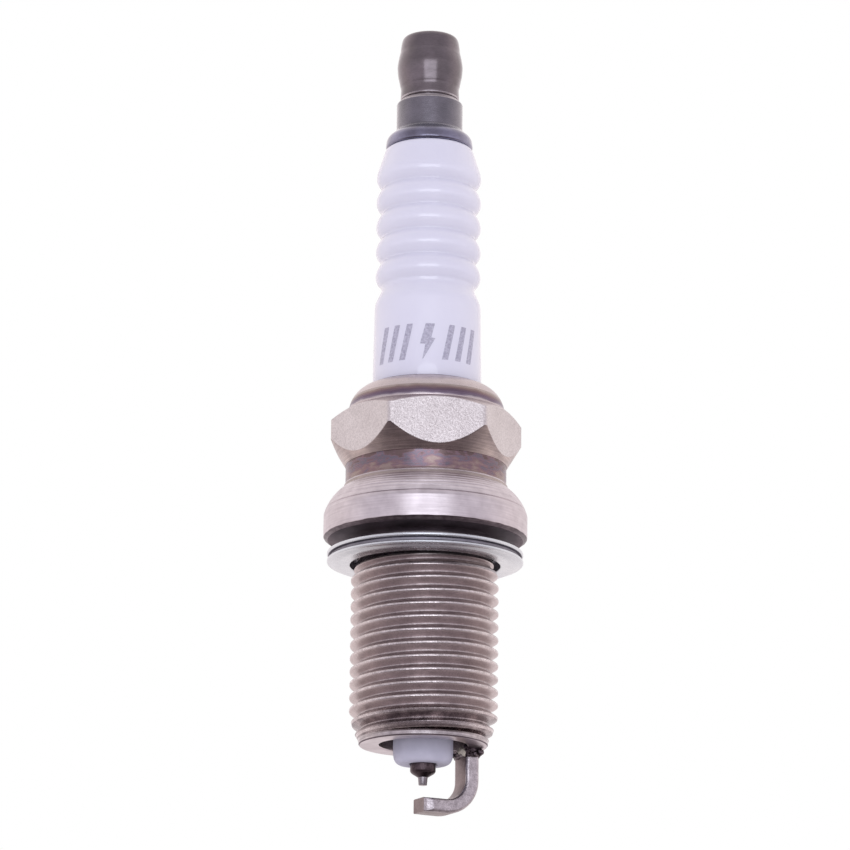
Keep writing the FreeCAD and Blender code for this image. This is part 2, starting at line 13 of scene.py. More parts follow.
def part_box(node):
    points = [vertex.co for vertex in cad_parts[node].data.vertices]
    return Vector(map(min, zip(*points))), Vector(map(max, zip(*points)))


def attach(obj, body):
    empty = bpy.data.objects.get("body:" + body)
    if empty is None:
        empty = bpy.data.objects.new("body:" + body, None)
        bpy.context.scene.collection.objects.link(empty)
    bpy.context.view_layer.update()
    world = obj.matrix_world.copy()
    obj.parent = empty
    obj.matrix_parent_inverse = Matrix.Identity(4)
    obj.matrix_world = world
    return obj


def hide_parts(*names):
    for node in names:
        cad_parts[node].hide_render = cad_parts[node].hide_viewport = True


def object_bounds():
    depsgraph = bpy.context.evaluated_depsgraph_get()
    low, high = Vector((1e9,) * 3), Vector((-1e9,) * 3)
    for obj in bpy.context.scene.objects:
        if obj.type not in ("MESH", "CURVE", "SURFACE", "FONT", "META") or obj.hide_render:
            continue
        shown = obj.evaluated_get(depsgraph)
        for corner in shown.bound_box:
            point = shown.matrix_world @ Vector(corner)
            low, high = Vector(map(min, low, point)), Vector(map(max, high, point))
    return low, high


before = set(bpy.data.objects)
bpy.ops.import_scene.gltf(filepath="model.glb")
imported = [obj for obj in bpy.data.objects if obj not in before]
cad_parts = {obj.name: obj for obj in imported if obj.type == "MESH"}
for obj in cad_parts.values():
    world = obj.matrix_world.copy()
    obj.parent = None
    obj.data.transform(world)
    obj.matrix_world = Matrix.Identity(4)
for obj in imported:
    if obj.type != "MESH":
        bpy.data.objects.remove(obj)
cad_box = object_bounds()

MM = 0.001
TURNS = 2 * math.pi
COLUMNS = 240
SHELL_COLUMNS = 360
LATHE_STRETCH = (0.03, 0.03, 1)
BRUSH_STRETCH = (0.25, 0.25, 1)


# ---- frame measures, in mm
def top(node):
    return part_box(node)[1].z / MM


def foot(node):
    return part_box(node)[0].z / MM


def radius(node):
    low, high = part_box(node)
    return (high.x - low.x) / 2 / MM


NUT_TOP = top("terminal_nut")
NUT_FOOT = foot("terminal_nut")
NUT_RADIUS = radius("terminal_nut")
CERAMIC_TOP = top("insulator")
NOSE_END = foot("insulator")
FLANGE_RADIUS = radius("terminal_stud")
STUD_TOP = top("terminal_stud")
LIP_TOP = top("shell")
REACH = foot("shell")
SEAT_RADIUS = radius("shell")
GASKET_RADIUS = radius("crush_gasket")
GASKET_FOOT = foot("crush_gasket")
TIP_END = foot("firing_tip")
CONE_FOOT = foot("centre_electrode")
STRAP_FOOT = foot("ground_electrode")

# sizes the boxes don't give
HEX_TURN = math.radians(7.5)
STRAP_TURN = math.radians(28)
HEX_APOTHEM = 8.0
HEX_CORNER = 9.15
HEX_TOP = 12.45
HEX_TOP_RADIUS = 7.6
HEX_UPPER_CORNER = 11.5
HEX_LOWER_CORNER = 9.6
GROOVE_TOP = 7.2
GROOVE_FOOT = 5.3
GROOVE_RADIUS = 7.7
COLLAR_ROUND_FOOT = 2.4
COLLAR_ROUNDING = 4.6
DOME_ROUNDING = 2.7
THREAD_RADIUS = 7.0
THREAD_PITCH = 1.25
THREAD_CREST = 0.14
TERMINAL_PITCH = 0.7
THREAD_SHIFT = 0.83
THREAD_TOP = -1.5
THREAD_TAPER = -16.9
THREAD_DARK_TOP = -17.0
THREAD_FOOT = -19.1
NECK_RADIUS = 6.35
CHAMFER_HEIGHT = 0.29
CHAMFER_WIDTH = 0.4


# ---- outlines
def rounded(corners, steps=4):
    """An open outline with each corner (r, z, rounding) eased by a short curve."""
    outline = []
    last = len(corners) - 1
    for index, corner in enumerate(corners):
        point = Vector(corner[:2])
        ease = corner[2] if len(corner) > 2 else 0
        if index in (0, last) or not ease:
            outline.append(point)
            continue
        before = Vector(corners[index - 1][:2])
        after = Vector(corners[index + 1][:2])
        reach_in = min(ease, (before - point).length * 0.48)
        reach_out = min(ease, (after - point).length * 0.48)
        start = point + (before - point).normalized() * reach_in
        end = point + (after - point).normalized() * reach_out
        for step in range(steps + 1):
            t = step / steps
            outline.append(start * (1 - t) ** 2 + point * 2 * t * (1 - t) + end * t * t)
    return outline


def arc(start, end, rounding, steps=12):
    """An arc from start to end that bulges away from the axis and upwards."""
    start, end = Vector(start), Vector(end)
    chord = end - start
    rise = math.sqrt(rounding**2 - chord.length_squared / 4)
    side = Vector((chord.y, -chord.x)).normalized()
    if side.x < 0:
        side.negate()
    centre = (start + end) / 2 - side * rise
    spoke = start - centre
    swing = spoke.angle_signed(end - centre)
    outline = []
    for step in range(steps + 1):
        turned = -swing * step / steps
        across, up = math.cos(turned), math.sin(turned)
        x, y = spoke.x * across - spoke.y * up, spoke.x * up + spoke.y * across
        outline.append(centre + Vector((x, y)))
    return outline


def dense(outline, spacing):
    """The same outline with its long stretches divided."""
    filled = [outline[0]]
    for start, end in zip(outline, outline[1:]):
        parts = max(1, math.ceil((end - start).length / spacing))
        filled += [start.lerp(end, part / parts) for part in range(1, parts + 1)]
    return filled


def smooth_curve(knots, per_span=8):
    """A smooth outline through every knot (r, z)."""
    points = [Vector(knot) for knot in knots]
    padded = [points[0] * 2 - points[1]] + points + [points[-1] * 2 - points[-2]]
    outline = []
    for a, b, c, d in zip(padded, padded[1:], padded[2:], padded[3:]):
        for step in range(per_span):
            t = step / per_span
            bend = (a * 2 - b * 5 + c * 4 - d) * t**2
            twist = (b * 3 - a - c * 3 + d) * t**3
            outline.append((b * 2 + (c - a) * t + bend + twist) / 2)
    outline.append(points[-1])
    return outline


def smooth_least(a, b, softness):
    """The smaller of two numbers, with the corner between them rounded."""
    blend = max(softness - abs(a - b), 0) / softness
    return min(a, b) - blend * blend * softness * 0.25


# ---- meshes
def add_object(name, data):
    thing = bpy.data.objects.new(name, data)
    bpy.context.scene.collection.objects.link(thing)
    return thing


class Mesh:
    """Vertices in millimetres, and faces with their materials, for one object."""

    def __init__(self, finish):
        self.finish = finish
        self.points = []
        self.faces = []
        self.finishes = []

    def add_point(self, x, y, z):
        self.points.append((x * MM, y * MM, z * MM))
        return len(self.points) - 1

    def add_face(self, corners, finish=None):
        self.faces.append(corners)
        self.finishes.append(finish or self.finish)

    def bridge(self, lower, upper, finish=None):
        """A closed band of faces between two rings. A ring may be one repeated point."""
        for index, point in enumerate(lower):
            following = (index + 1) % len(lower)
            corners = [point, lower[following], upper[following], upper[index]]
            corners = list(dict.fromkeys(corners))
            if len(corners) > 2:
                self.add_face(corners, finish)

    def make(self, name, body, replaced=(), crease=40):
        data = bpy.data.meshes.new(name)
        data.from_pydata(self.points, [], self.faces)
        places = {}
        for finish in self.finishes:
            if finish not in places:
                places[finish] = len(places)
                data.materials.append(finish)
        data.polygons.foreach_set("material_index", [places[finish] for finish in self.finishes])
        clean(data)
        data.polygons.foreach_set("use_smooth", [True] * len(data.polygons))
        data.set_sharp_from_angle(angle=math.radians(crease))
        piece = add_object(name, data)
        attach(piece, body)
        if replaced:
            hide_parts(*replaced)


def clean(data):
    """Merges points that share a place, drops empty faces and turns every face outwards."""
    work = bmesh.new()
    work.from_mesh(data)
    bmesh.ops.remove_doubles(work, verts=work.verts, dist=0.4e-6)
    bmesh.ops.dissolve_degenerate(work, edges=work.edges, dist=0.2e-6)
    bmesh.ops.recalc_face_normals(work, faces=work.faces)
    work.to_mesh(data)
    work.free()


def lathe(
    mesh, outline, columns=COLUMNS, finish_of=None, shape=None, closed=False, start_angle=0.0
):
    """Turns an outline about Z; closed joins its last point to its first.

    finish_of(r, z) may give a stretch its own material, and shape(angle, r, z) may move
    each point of a ring.
    """
    rings = []
    for point in outline:
        if point.x < 1e-6:
            rings.append([mesh.add_point(0, 0, point.y)] * columns)
            continue
        ring = []
        for column in range(columns):
            angle = TURNS * column / columns + start_angle
            r, z = shape(angle, point.x, point.y) if shape else (point.x, point.y)
            ring.append(mesh.add_point(r * math.cos(angle), r * math.sin(angle), z))
        rings.append(ring)
    pairs = list(zip(rings, rings[1:]))
    middles = [(a + b) / 2 for a, b in zip(outline, outline[1:])]
    if closed:
        pairs.append((rings[-1], rings[0]))
        middles.append((outline[-1] + outline[0]) / 2)
    for (lower, upper), middle in zip(pairs, middles):
        mesh.bridge(lower, upper, finish_of(middle.x, middle.y) if finish_of else None)


def thread_strip(
    mesh, low, high, pitch, radius_at, rows_per_turn,
    columns=COLUMNS, finish_of=None, shift=0.0, start_angle=0.0,
):
    """A helical surface between two heights. radius_at(phase, z) gives its radius.

    finish_of(phase, z) may give each part of the profile its own material.
    Rows follow the helix, and rows past either end are pressed flat on it, so the strip
    ends in two plain rings. Shift lowers the helix by that part of a turn.
    """
    first = low - (2 + shift) * pitch
    rows = math.ceil((high - first + pitch) / pitch) * rows_per_turn + rows_per_turn
    grid = []
    for row in range(rows + rows_per_turn):
        line = []
        for column in range(columns):
            turn = column / columns
            height = first + pitch * (row / rows_per_turn + turn)
            z = min(max(height, low), high)
            phase = (row / rows_per_turn) % 1.0
            inside = low < height < high
            r = radius_at(phase, z) if inside else radius_at(None, z)
            angle = TURNS * turn + start_angle
            line.append(mesh.add_point(r * math.cos(angle), r * math.sin(angle), z))
        grid.append(line)
    for row in range(rows - 1):
        phase = (row + 0.5) / rows_per_turn % 1.0
        for column in range(columns):
            z = first + pitch * (row / rows_per_turn + column / columns)
            finish = finish_of(phase, z) if finish_of else None
            if column + 1 < columns:
                right_low, right_high = grid[row][column + 1], grid[row + 1][column + 1]
            else:
                right_low = grid[row + rows_per_turn][0]
                right_high = grid[row + rows_per_turn + 1][0]
            mesh.add_face([grid[row][column], right_low, right_high, grid[row + 1][column]], finish)


# ---- materials
def put(tree, socket, value):
    """Links another node's output to the socket, or stores a plain value in it."""
    if isinstance(value, bpy.types.NodeSocket):
        tree.links.new(value, socket)
    else:
        socket.default_value = value


def add_node(tree, kind, **settings):
    """A node with its inputs put in place; a setting's name has underscores for spaces."""
    node = tree.nodes.new("ShaderNode" + kind)
    for name, value in settings.items():
        put(tree, node.inputs[name.replace("_", " ")], value)
    return node


def new_material(name, **settings):
    """A material with the given shader settings, its node tree and its shader."""
    material = bpy.data.materials.new(name)
    material.use_nodes = True
    shader = material.node_tree.nodes["Principled BSDF"]
    for setting, value in settings.items():
        shader.inputs[setting.replace("_", " ")].default_value = value
    return material, material.node_tree, shader


def object_coordinates(tree, scale=(1, 1, 1)):
    place = add_node(tree, "TexCoord").outputs["Object"]
    return add_node(tree, "Mapping", Vector=place, Scale=scale).outputs["Vector"]


def noise(tree, scale, stretch=(1, 1, 1), *, detail):
    place = object_coordinates(tree, stretch)
    texture = add_node(tree, "TexNoise", Vector=place, Scale=scale, Detail=detail, Roughness=0.55)
    return texture.outputs["Fac"]


def ramp(tree, factor, stops):
    """A colour ramp through (place, colour) stops."""
    node = add_node(tree, "ValToRGB", Fac=factor)
    elements = node.color_ramp.elements
    while len(elements) < len(stops):
        elements.new(0.5)
    for element, (place, colour) in zip(elements, stops):
        element.position = place
        element.color = (*colour, 1)
    return node.outputs["Color"]


def remap(tree, value, low, high, new_low, new_high):
    node = add_node(tree, "MapRange", Value=value, From_Min=low, From_Max=high)
    put(tree, node.inputs["To Min"], new_low)
    put(tree, node.inputs["To Max"], new_high)
    return node.outputs["Result"]


def mix_colours(tree, factor, first, second, blend="MIX"):
    node = add_node(tree, "Mix")
    node.data_type = "RGBA"
    node.blend_type = blend
    for socket, value in zip((node.inputs[0], *node.inputs[6:8]), (factor, first, second)):
        put(tree, socket, value)
    return node.outputs[2]


def bump(tree, shader, height, strength, distance):
    node = add_node(tree, "Bump", Strength=strength, Distance=distance, Height=height)
    put(tree, shader.inputs["Normal"], node.outputs["Normal"])


def speckled(tree, colour, grains, speckle):
    """The colour, darkened by up to the speckle where the grains are low."""
    shade = ramp(tree, grains, [(0.36, (1 - speckle,) * 3), (0.64, (1,) * 3)])
    return mix_colours(tree, 1.0, colour, shade, "MULTIPLY")


def metal(
    name, dark, light, roughness, grain,
    stretch=(1, 1, 1), grain_bump=0.15, mottle=300, depth=0.00002, speckle=0.0, film=0.0,
):
    """Plated or oxidised metal: mottled colour, varied roughness and fine grain.

    Speckle is how much each grain's own brightness strays from the colour round it.
    Film is the weight of a clear oxide layer, which brightens grazing angles.
    """
    material, tree, shader = new_material(
        name, Metallic=1.0, Coat_Weight=film, Coat_Roughness=0.25
    )
    cloud = noise(tree, mottle, detail=5)
    fine = noise(tree, grain, stretch, detail=3)
    colour = ramp(tree, cloud, [(0.32, dark), (0.68, light)])
    if speckle:
        colour = speckled(tree, colour, noise(tree, grain * 1.3, stretch, detail=2), speckle)
    put(tree, shader.inputs["Base Color"], colour)
    put(tree, shader.inputs["Roughness"], remap(tree, fine, 0.3, 0.7, *roughness))
    bump(tree, shader, fine, grain_bump, depth)
    return material


def turned_metal(name, dark, light, roughness, lines, line_bump, mottle, speckle):
    """Metal with fine turning lines round Z."""
    return metal(
        name, dark, light, roughness, lines, LATHE_STRETCH, line_bump, mottle, 0.00001, speckle
    )


def make_glaze():
    """Alumina under a clear glaze."""
    material, tree, shader = new_material(
        "alumina_glaze",
        Roughness=0.32,
        Coat_Weight=1.0,
        Coat_IOR=1.6,
        Coat_Roughness=0.04,
        Subsurface_Weight=0.1,
        Subsurface_Radius=(0.001, 0.001, 0.001),
        Subsurface_Scale=0.5,
    )
    cloud = noise(tree, 160, detail=3)
    colour = ramp(tree, cloud, [(0.3, (0.685, 0.685, 0.81)), (0.7, (0.72, 0.72, 0.835))])
    put(tree, shader.inputs["Base Color"], colour)
    bump(tree, shader, noise(tree, 220, detail=2), 0.05, 0.00005)
    return material


def make_bare_alumina():
    material, tree, shader = new_material(
        "bare_alumina",
        Roughness=0.62,
        Subsurface_Weight=0.1,
        Subsurface_Radius=(0.0008, 0.0008, 0.0008),
        Subsurface_Scale=0.5,
    )
    cloud = noise(tree, 700, detail=4)
    colour = ramp(tree, cloud, [(0.3, (0.41, 0.405, 0.505)), (0.7, (0.47, 0.465, 0.565))])
    put(tree, shader.inputs["Base Color"], colour)
    bump(tree, shader, noise(tree, 9000, detail=2), 0.2, 0.00001)
    return material


def make_heat_band(name, stops, low, high, drift, warp):
    """Tempering colours that change up a band's height and wander round it."""
    material, tree, shader = new_material(name, Metallic=1.0)
    wander = noise(tree, warp, (1, 1, 2.2), detail=2)
    split = add_node(tree, "SeparateXYZ", Vector=object_coordinates(tree))
    rise = remap(tree, split.outputs["Z"], low * MM, high * MM, 0, 1)
    total = add_node(tree, "Math")
    total.operation = "ADD"
    put(tree, total.inputs[0], rise)
    put(tree, total.inputs[1], remap(tree, wander, 0.25, 0.75, -drift, drift))
    colour = ramp(tree, total.outputs["Value"], stops)
    lines = noise(tree, 9000, LATHE_STRETCH, detail=2)
    put(tree, shader.inputs["Base Color"], speckled(tree, colour, lines, 0.18))
    put(tree, shader.inputs["Roughness"], remap(tree, lines, 0.3, 0.7, 0.2, 0.34))
    bump(tree, shader, lines, 0.25, 0.00001)
    return material


def make_mark_ink():
    """Fired grey print, worn in fine speckles."""
    material, tree, shader = new_material("fired_print", Roughness=0.4, Coat_Weight=0.4)
    wear = noise(tree, 5200, detail=3)
    colour = ramp(tree, wear, [(0.35, (0.33, 0.32, 0.42)), (0.68, (0.52, 0.51, 0.62))])
    put(tree, shader.inputs["Base Color"], colour)
    return material


def plain(name, colour, roughness, metallic=0.0):
    """A gently mottled material without turning lines or film."""
    material, tree, shader = new_material(name, Metallic=metallic, Roughness=roughness)
    darker = tuple(channel * 0.8 for channel in colour)
    cloud = noise(tree, 1200, detail=3)
    mottled = ramp(tree, cloud, [(0.35, darker), (0.65, colour)])
    put(tree, shader.inputs["Base Color"], mottled)
    bump(tree, shader, cloud, 0.2, 0.00002)
    return material


NICKEL = metal(
    "satin_nickel", (0.54, 0.47, 0.47), (0.64, 0.56, 0.56), (0.26, 0.36), grain=6000,
    mottle=260, speckle=0.08,
)
NICKEL_TURNED = turned_metal(
    "turned_nickel", (0.60, 0.54, 0.565), (0.73, 0.665, 0.69), (0.28, 0.4), 6000, 0.55,
    mottle=900, speckle=0.11,
)
HEX_FLAT = metal(
    "forged_flat", (0.71, 0.655, 0.65), (0.79, 0.735, 0.73), (0.34, 0.48), grain=5200,
    grain_bump=1.0, mottle=400, depth=0.00005, speckle=0.2,
)
HEX_CONE = turned_metal(
    "hexagon_cone", (0.36, 0.30, 0.30), (0.66, 0.55, 0.515), (0.24, 0.34), 7000, 0.3,
    mottle=420, speckle=0.25,
)
THREAD_METAL = metal(
    "rolled_thread", (0.66, 0.575, 0.565), (0.82, 0.72, 0.71), (0.34, 0.46), grain=6000,
    grain_bump=0.4, mottle=500, speckle=0.22,
)
CREST_METAL = metal(
    "thread_crest", (0.58, 0.51, 0.51), (0.84, 0.76, 0.76), (0.14, 0.3), grain=6500,
    grain_bump=0.8, mottle=1500, speckle=0.35,
)
LAND_METAL = turned_metal(
    "end_land", (0.44, 0.39, 0.40), (0.66, 0.60, 0.61), (0.18, 0.3), 7000, 0.6,
    mottle=1500, speckle=0.3,
)
STEP_METAL = turned_metal(
    "groove_step", (0.36, 0.30, 0.28), (0.48, 0.41, 0.38), (0.26, 0.38), 7000, 0.4,
    mottle=500, speckle=0.15,
)
# A darker, blotchier copy of the thread's metal for the last turns near the end.
THREAD_DARK_END = metal(
    "thread_dark_end", (0.22, 0.18, 0.19), (0.56, 0.48, 0.48), (0.18, 0.32), grain=6000,
    grain_bump=0.6, mottle=700, speckle=0.35,
)
# Painted shade: a darker copy of the thread's metal for upper flanks, roots and the shell's bore.
THREAD_PAINTED_SHADE = metal(
    "thread_painted_shade", (0.40, 0.34, 0.345), (0.56, 0.49, 0.49), (0.34, 0.46), grain=6000,
    grain_bump=0.4, mottle=900, speckle=0.3,
)
# Temper colours up the groove; the darkest stop at its top is painted shadow under the hexagon.
GROOVE_TINT_AND_SHADOW = make_heat_band(
    "groove_tint_and_shadow",
    [
        (0.0, (0.34, 0.26, 0.24)),
        (0.3, (0.27, 0.18, 0.19)),
        (0.5, (0.235, 0.165, 0.20)),
        (0.68, (0.19, 0.17, 0.205)),
        (0.85, (0.245, 0.16, 0.185)),
        (1.0, (0.17, 0.12, 0.12)),
    ],
    GROOVE_FOOT,
    GROOVE_TOP,
    drift=0.6,
    warp=760,
)
# Temper colours over the crimp; the pale first stop at its foot is painted light along the join
# with the hexagon.
CRIMP_TINT_AND_SHEEN = make_heat_band(
    "crimp_tint_and_sheen",
    [
        (0.0, (0.60, 0.54, 0.55)),
        (0.17, (0.25, 0.20, 0.26)),
        (0.4, (0.19, 0.135, 0.19)),
        (0.62, (0.24, 0.165, 0.185)),
        (0.8, (0.30, 0.22, 0.205)),
        (1.0, (0.44, 0.37, 0.35)),
    ],
    HEX_TOP + 0.15,
    HEX_TOP + 1.15,
    drift=0.16,
    warp=420,
)
OXIDE = metal(
    "oxide_steel", (0.125, 0.105, 0.112), (0.20, 0.165, 0.182), (0.16, 0.24), grain=7000,
    stretch=BRUSH_STRETCH, grain_bump=0.1, mottle=420, speckle=0.12, film=0.7,
)
OXIDE_COLLAR = metal(
    "oxide_collar", (0.125, 0.118, 0.14), (0.195, 0.18, 0.215), (0.2, 0.3), grain=7000,
    stretch=BRUSH_STRETCH, grain_bump=0.1, mottle=420, speckle=0.12, film=1.0,
)
# Worn edge and painted sheen: lighter metal for the nut's foot and the stud collar's top chamfer,
# partly rubbed bare and partly the light these edges reflect.
WORN_EDGE_AND_SHEEN = metal(
    "worn_edge_and_sheen", (0.46, 0.42, 0.44), (0.64, 0.60, 0.62), (0.3, 0.4), grain=7000, mottle=900,
    speckle=0.2,
)
OXIDE_BLUE = metal(
    "oxide_steel_blue", (0.155, 0.145, 0.205), (0.29, 0.285, 0.405), (0.12, 0.2), grain=7000,
    stretch=BRUSH_STRETCH, grain_bump=0.1, mottle=420, speckle=0.12, film=0.9,
)
ZINC = metal(
    "zinc_plate", (0.67, 0.70, 0.735), (0.76, 0.785, 0.81), (0.24, 0.32), grain=6000,
    stretch=(0.3, 0.3, 1), grain_bump=0.05, mottle=200, speckle=0.03,
)
# Painted shade: darker zinc for the gasket's hole and the crease between its layers.
ZINC_PAINTED_SHADE = metal(
    "zinc_painted_shade", (0.20, 0.19, 0.22), (0.34, 0.33, 0.37), (0.4, 0.5), grain=5000
)
DARK_NICKEL = metal(
    "dark_nickel", (0.07, 0.052, 0.057), (0.14, 0.105, 0.115), (0.28, 0.42), grain=6000,
    grain_bump=0.5, mottle=1800, speckle=0.3,
)
TIP_METAL = metal(
    "tip_metal", (0.20, 0.175, 0.19), (0.34, 0.31, 0.32), (0.2, 0.3), grain=8000, mottle=2000,
    speckle=0.2,
)
STRAP_METAL = metal(
    "strap_nickel", (0.46, 0.41, 0.43), (0.70, 0.64, 0.665), (0.26, 0.38), grain=6500,
    grain_bump=0.9, mottle=1800, depth=0.00003, speckle=0.32,
)
STRAP_FACE = metal(
    "strap_inner_face", (0.24, 0.19, 0.19), (0.32, 0.255, 0.255), (0.3, 0.42), grain=6500,
    grain_bump=0.4, mottle=900, speckle=0.2,
)
WELD_METAL = metal(
    "weld_scale", (0.05, 0.035, 0.045), (0.24, 0.19, 0.21), (0.2, 0.45), grain=6000,
    grain_bump=0.8, mottle=2600, depth=0.00004, speckle=0.5,
)
SPATTER_METAL = plain("weld_spatter", (0.60, 0.54, 0.47), 0.42)
# Painted shade: dark metal for the seat's underside and neck in the gap above the gasket, a thin
# line at the lip's top by the ceramic, and the end's small chamfer.
PAINTED_SHADE_METAL = metal(
    "painted_shade_metal", (0.15, 0.12, 0.14), (0.30, 0.245, 0.275), (0.5, 0.62), grain=5000
)
# Painted shade: the collar's lower chamfer, darkened where it faces the dark gap and the dark
# below.
CHAMFER_PAINTED_SHADE = turned_metal(
    "seat_chamfer_painted_shade", (0.12, 0.095, 0.11), (0.24, 0.20, 0.22), (0.3, 0.42), 7000, 0.5,
    mottle=1500, speckle=0.3,
)
MARK_INK = make_mark_ink()
GLAZE = make_glaze()
BARE_ALUMINA = make_bare_alumina()


# ---- terminal
def screw_profile(crest, root):
    """Radius across one pitch of a thread with flat crests and rounded roots."""

    def radius_at(phase):
        away = abs(phase - 0.5) * 2
        rise = min(max((away - THREAD_CREST) / (1 - THREAD_CREST - 0.1), 0), 1)
        eased = rise * rise * (3 - 2 * rise) * 0.3 + rise * 0.7
        return crest + (root - crest) * eased

    return radius_at


def add_terminal_thread(mesh, crest, root, low, high):
    """The nut's or the stud's thread, which runs out to its root at both ends."""
    wave = screw_profile(crest, root)

    def radius_at(phase, z):
        return root if phase is None else wave(phase)

    thread_strip(mesh, low, high, TERMINAL_PITCH, radius_at, rows_per_turn=10)


def make_terminal_nut():
    """Barrel nut: tapered crown, bulge, waist and a slightly flared foot, threaded inside."""
    crest, root = 2.03, 2.32
    thread_low = NUT_FOOT + 0.45
    thread_high = NUT_TOP - 1.15
    mouth = (crest + 0.3, NUT_FOOT)
    outside = (
        rounded([mouth, (2.77, NUT_FOOT, 0.03), (2.84, NUT_FOOT + 0.1)])
        + smooth_curve([
            (2.845, NUT_FOOT + 0.15),
            (2.845, NUT_FOOT + 0.32),
            (2.822, NUT_FOOT + 0.85),
            (2.83, NUT_FOOT + 1.15),
            (2.9, NUT_FOOT + 1.45),
            (3.0, NUT_FOOT + 1.95),
            (3.11, NUT_FOOT + 2.5),
            (NUT_RADIUS, NUT_FOOT + 3.2),
            (3.14, NUT_FOOT + 3.75),
            (3.03, NUT_FOOT + 4.35),
            (2.93, NUT_FOOT + 4.75),
        ])
        + rounded([
            (2.925, NUT_FOOT + 4.8),
            (2.91, NUT_FOOT + 4.86, 0.03),
            (2.84, NUT_TOP - 0.95, 0.3),
            (2.68, NUT_TOP - 0.2, 0.6),
            (2.1, NUT_TOP, 0.45),
            (1.2, NUT_TOP, 0.08),
            (1.13, NUT_TOP - 0.08, 0.08),
            (1.13, NUT_TOP - 0.55, 0.08),
            (root, thread_high + 0.02, 0.08),
            (root, thread_high),
        ], 6)
    )
    inside = [Vector((root, thread_low)), Vector((root, thread_low - 0.02)), Vector(mouth)]
    worn = NUT_FOOT + 0.14
    mesh = Mesh(OXIDE)
    # the nut's foot is partly worn and partly a painted sheen
    lathe(mesh, outside, finish_of=lambda r, z: WORN_EDGE_AND_SHEEN if z < worn else OXIDE)
    lathe(mesh, inside)
    add_terminal_thread(mesh, crest, root, thread_low, thread_high)
    mesh.make("terminal_nut_detail", "nut", ["terminal_nut"])


def make_terminal_stud():
    """Collar, flange and threaded stud; the shank below stays hidden in the ceramic."""
    collar_top = NUT_FOOT - 0.03
    crest, root = 1.94, 1.55
    thread_low = collar_top + 0.7
    thread_high = STUD_TOP - 0.45
    shank_foot = foot("terminal_stud")
    below = rounded([
        (0, shank_foot),
        (1.3, shank_foot, 0.1),
        (1.55, shank_foot + 0.3, 0.1),
        (1.55, shank_foot + 3.6, 0.1),
        (1.88, shank_foot + 4.0, 0.1),
        (1.88, CERAMIC_TOP, 0.02),
        (FLANGE_RADIUS - 0.15, CERAMIC_TOP + 0.005, 0.1),
        (FLANGE_RADIUS, CERAMIC_TOP + 0.16, 0.1),
        (FLANGE_RADIUS, CERAMIC_TOP + 0.35),
    ])
    flange = smooth_curve([
        (FLANGE_RADIUS, CERAMIC_TOP + 0.38),
        (4.14, CERAMIC_TOP + 0.84),
        (3.94, CERAMIC_TOP + 1.2),
        (3.54, CERAMIC_TOP + 1.55),
        (3.27, CERAMIC_TOP + 1.75),
    ], 5)
    above = rounded([
        (3.25, CERAMIC_TOP + 1.8),
        (3.2, CERAMIC_TOP + 1.9, 0.08),
        (3.2, collar_top - 0.5, 0.08),
        (2.74, collar_top, 0.06),
        (root - 0.05, collar_top, 0.05),
        (root - 0.05, thread_low - 0.1, 0.05),
        (root, thread_low),
    ])
    end = rounded([
        (root, thread_high),
        (root, STUD_TOP - 0.1, 0.05),
        (root - 0.15, STUD_TOP, 0.05),
        (0, STUD_TOP),
    ])
    mesh = Mesh(OXIDE_COLLAR)

    def finish(r, z):
        if z < CERAMIC_TOP + 1.75:
            return OXIDE_BLUE
        # the collar's top chamfer: worn edge and painted sheen
        on_chamfer = collar_top - 0.5 < z < collar_top - 0.01 and r > 2.7
        return WORN_EDGE_AND_SHEEN if on_chamfer else OXIDE_COLLAR

    lathe(mesh, below + flange + above, finish_of=finish)
    lathe(mesh, end)
    add_terminal_thread(mesh, crest, root, thread_low, thread_high)
    mesh.make("terminal_stud_detail", "plug", ["terminal_stud"])


# ---- insulator
RIB_CREST = 5.05
RIB_DEPTH = 0.66
RIB_PITCH = 2.49
RIB_LOWER_SHARE = 0.44
FIRST_RIB = 35.95
BARREL_FOOT = 16.0
BARREL_FOOT_RADIUS = 5.2
BARREL_TOP = 23.2
BARREL_TOP_RADIUS = 5.08


def rib_radius(z):
    """Five ribs with broad crests and narrow valleys, steeper below each crest than above."""
    below = (FIRST_RIB - z) / RIB_PITCH % 1.0
    lower_flank = RIB_CREST - RIB_DEPTH * (below / RIB_LOWER_SHARE) ** 2.2
    upper_flank = RIB_CREST - RIB_DEPTH * ((1 - below) / (1 - RIB_LOWER_SHARE)) ** 1.9
    return -smooth_least(-lower_flank, -upper_flank, 0.42)


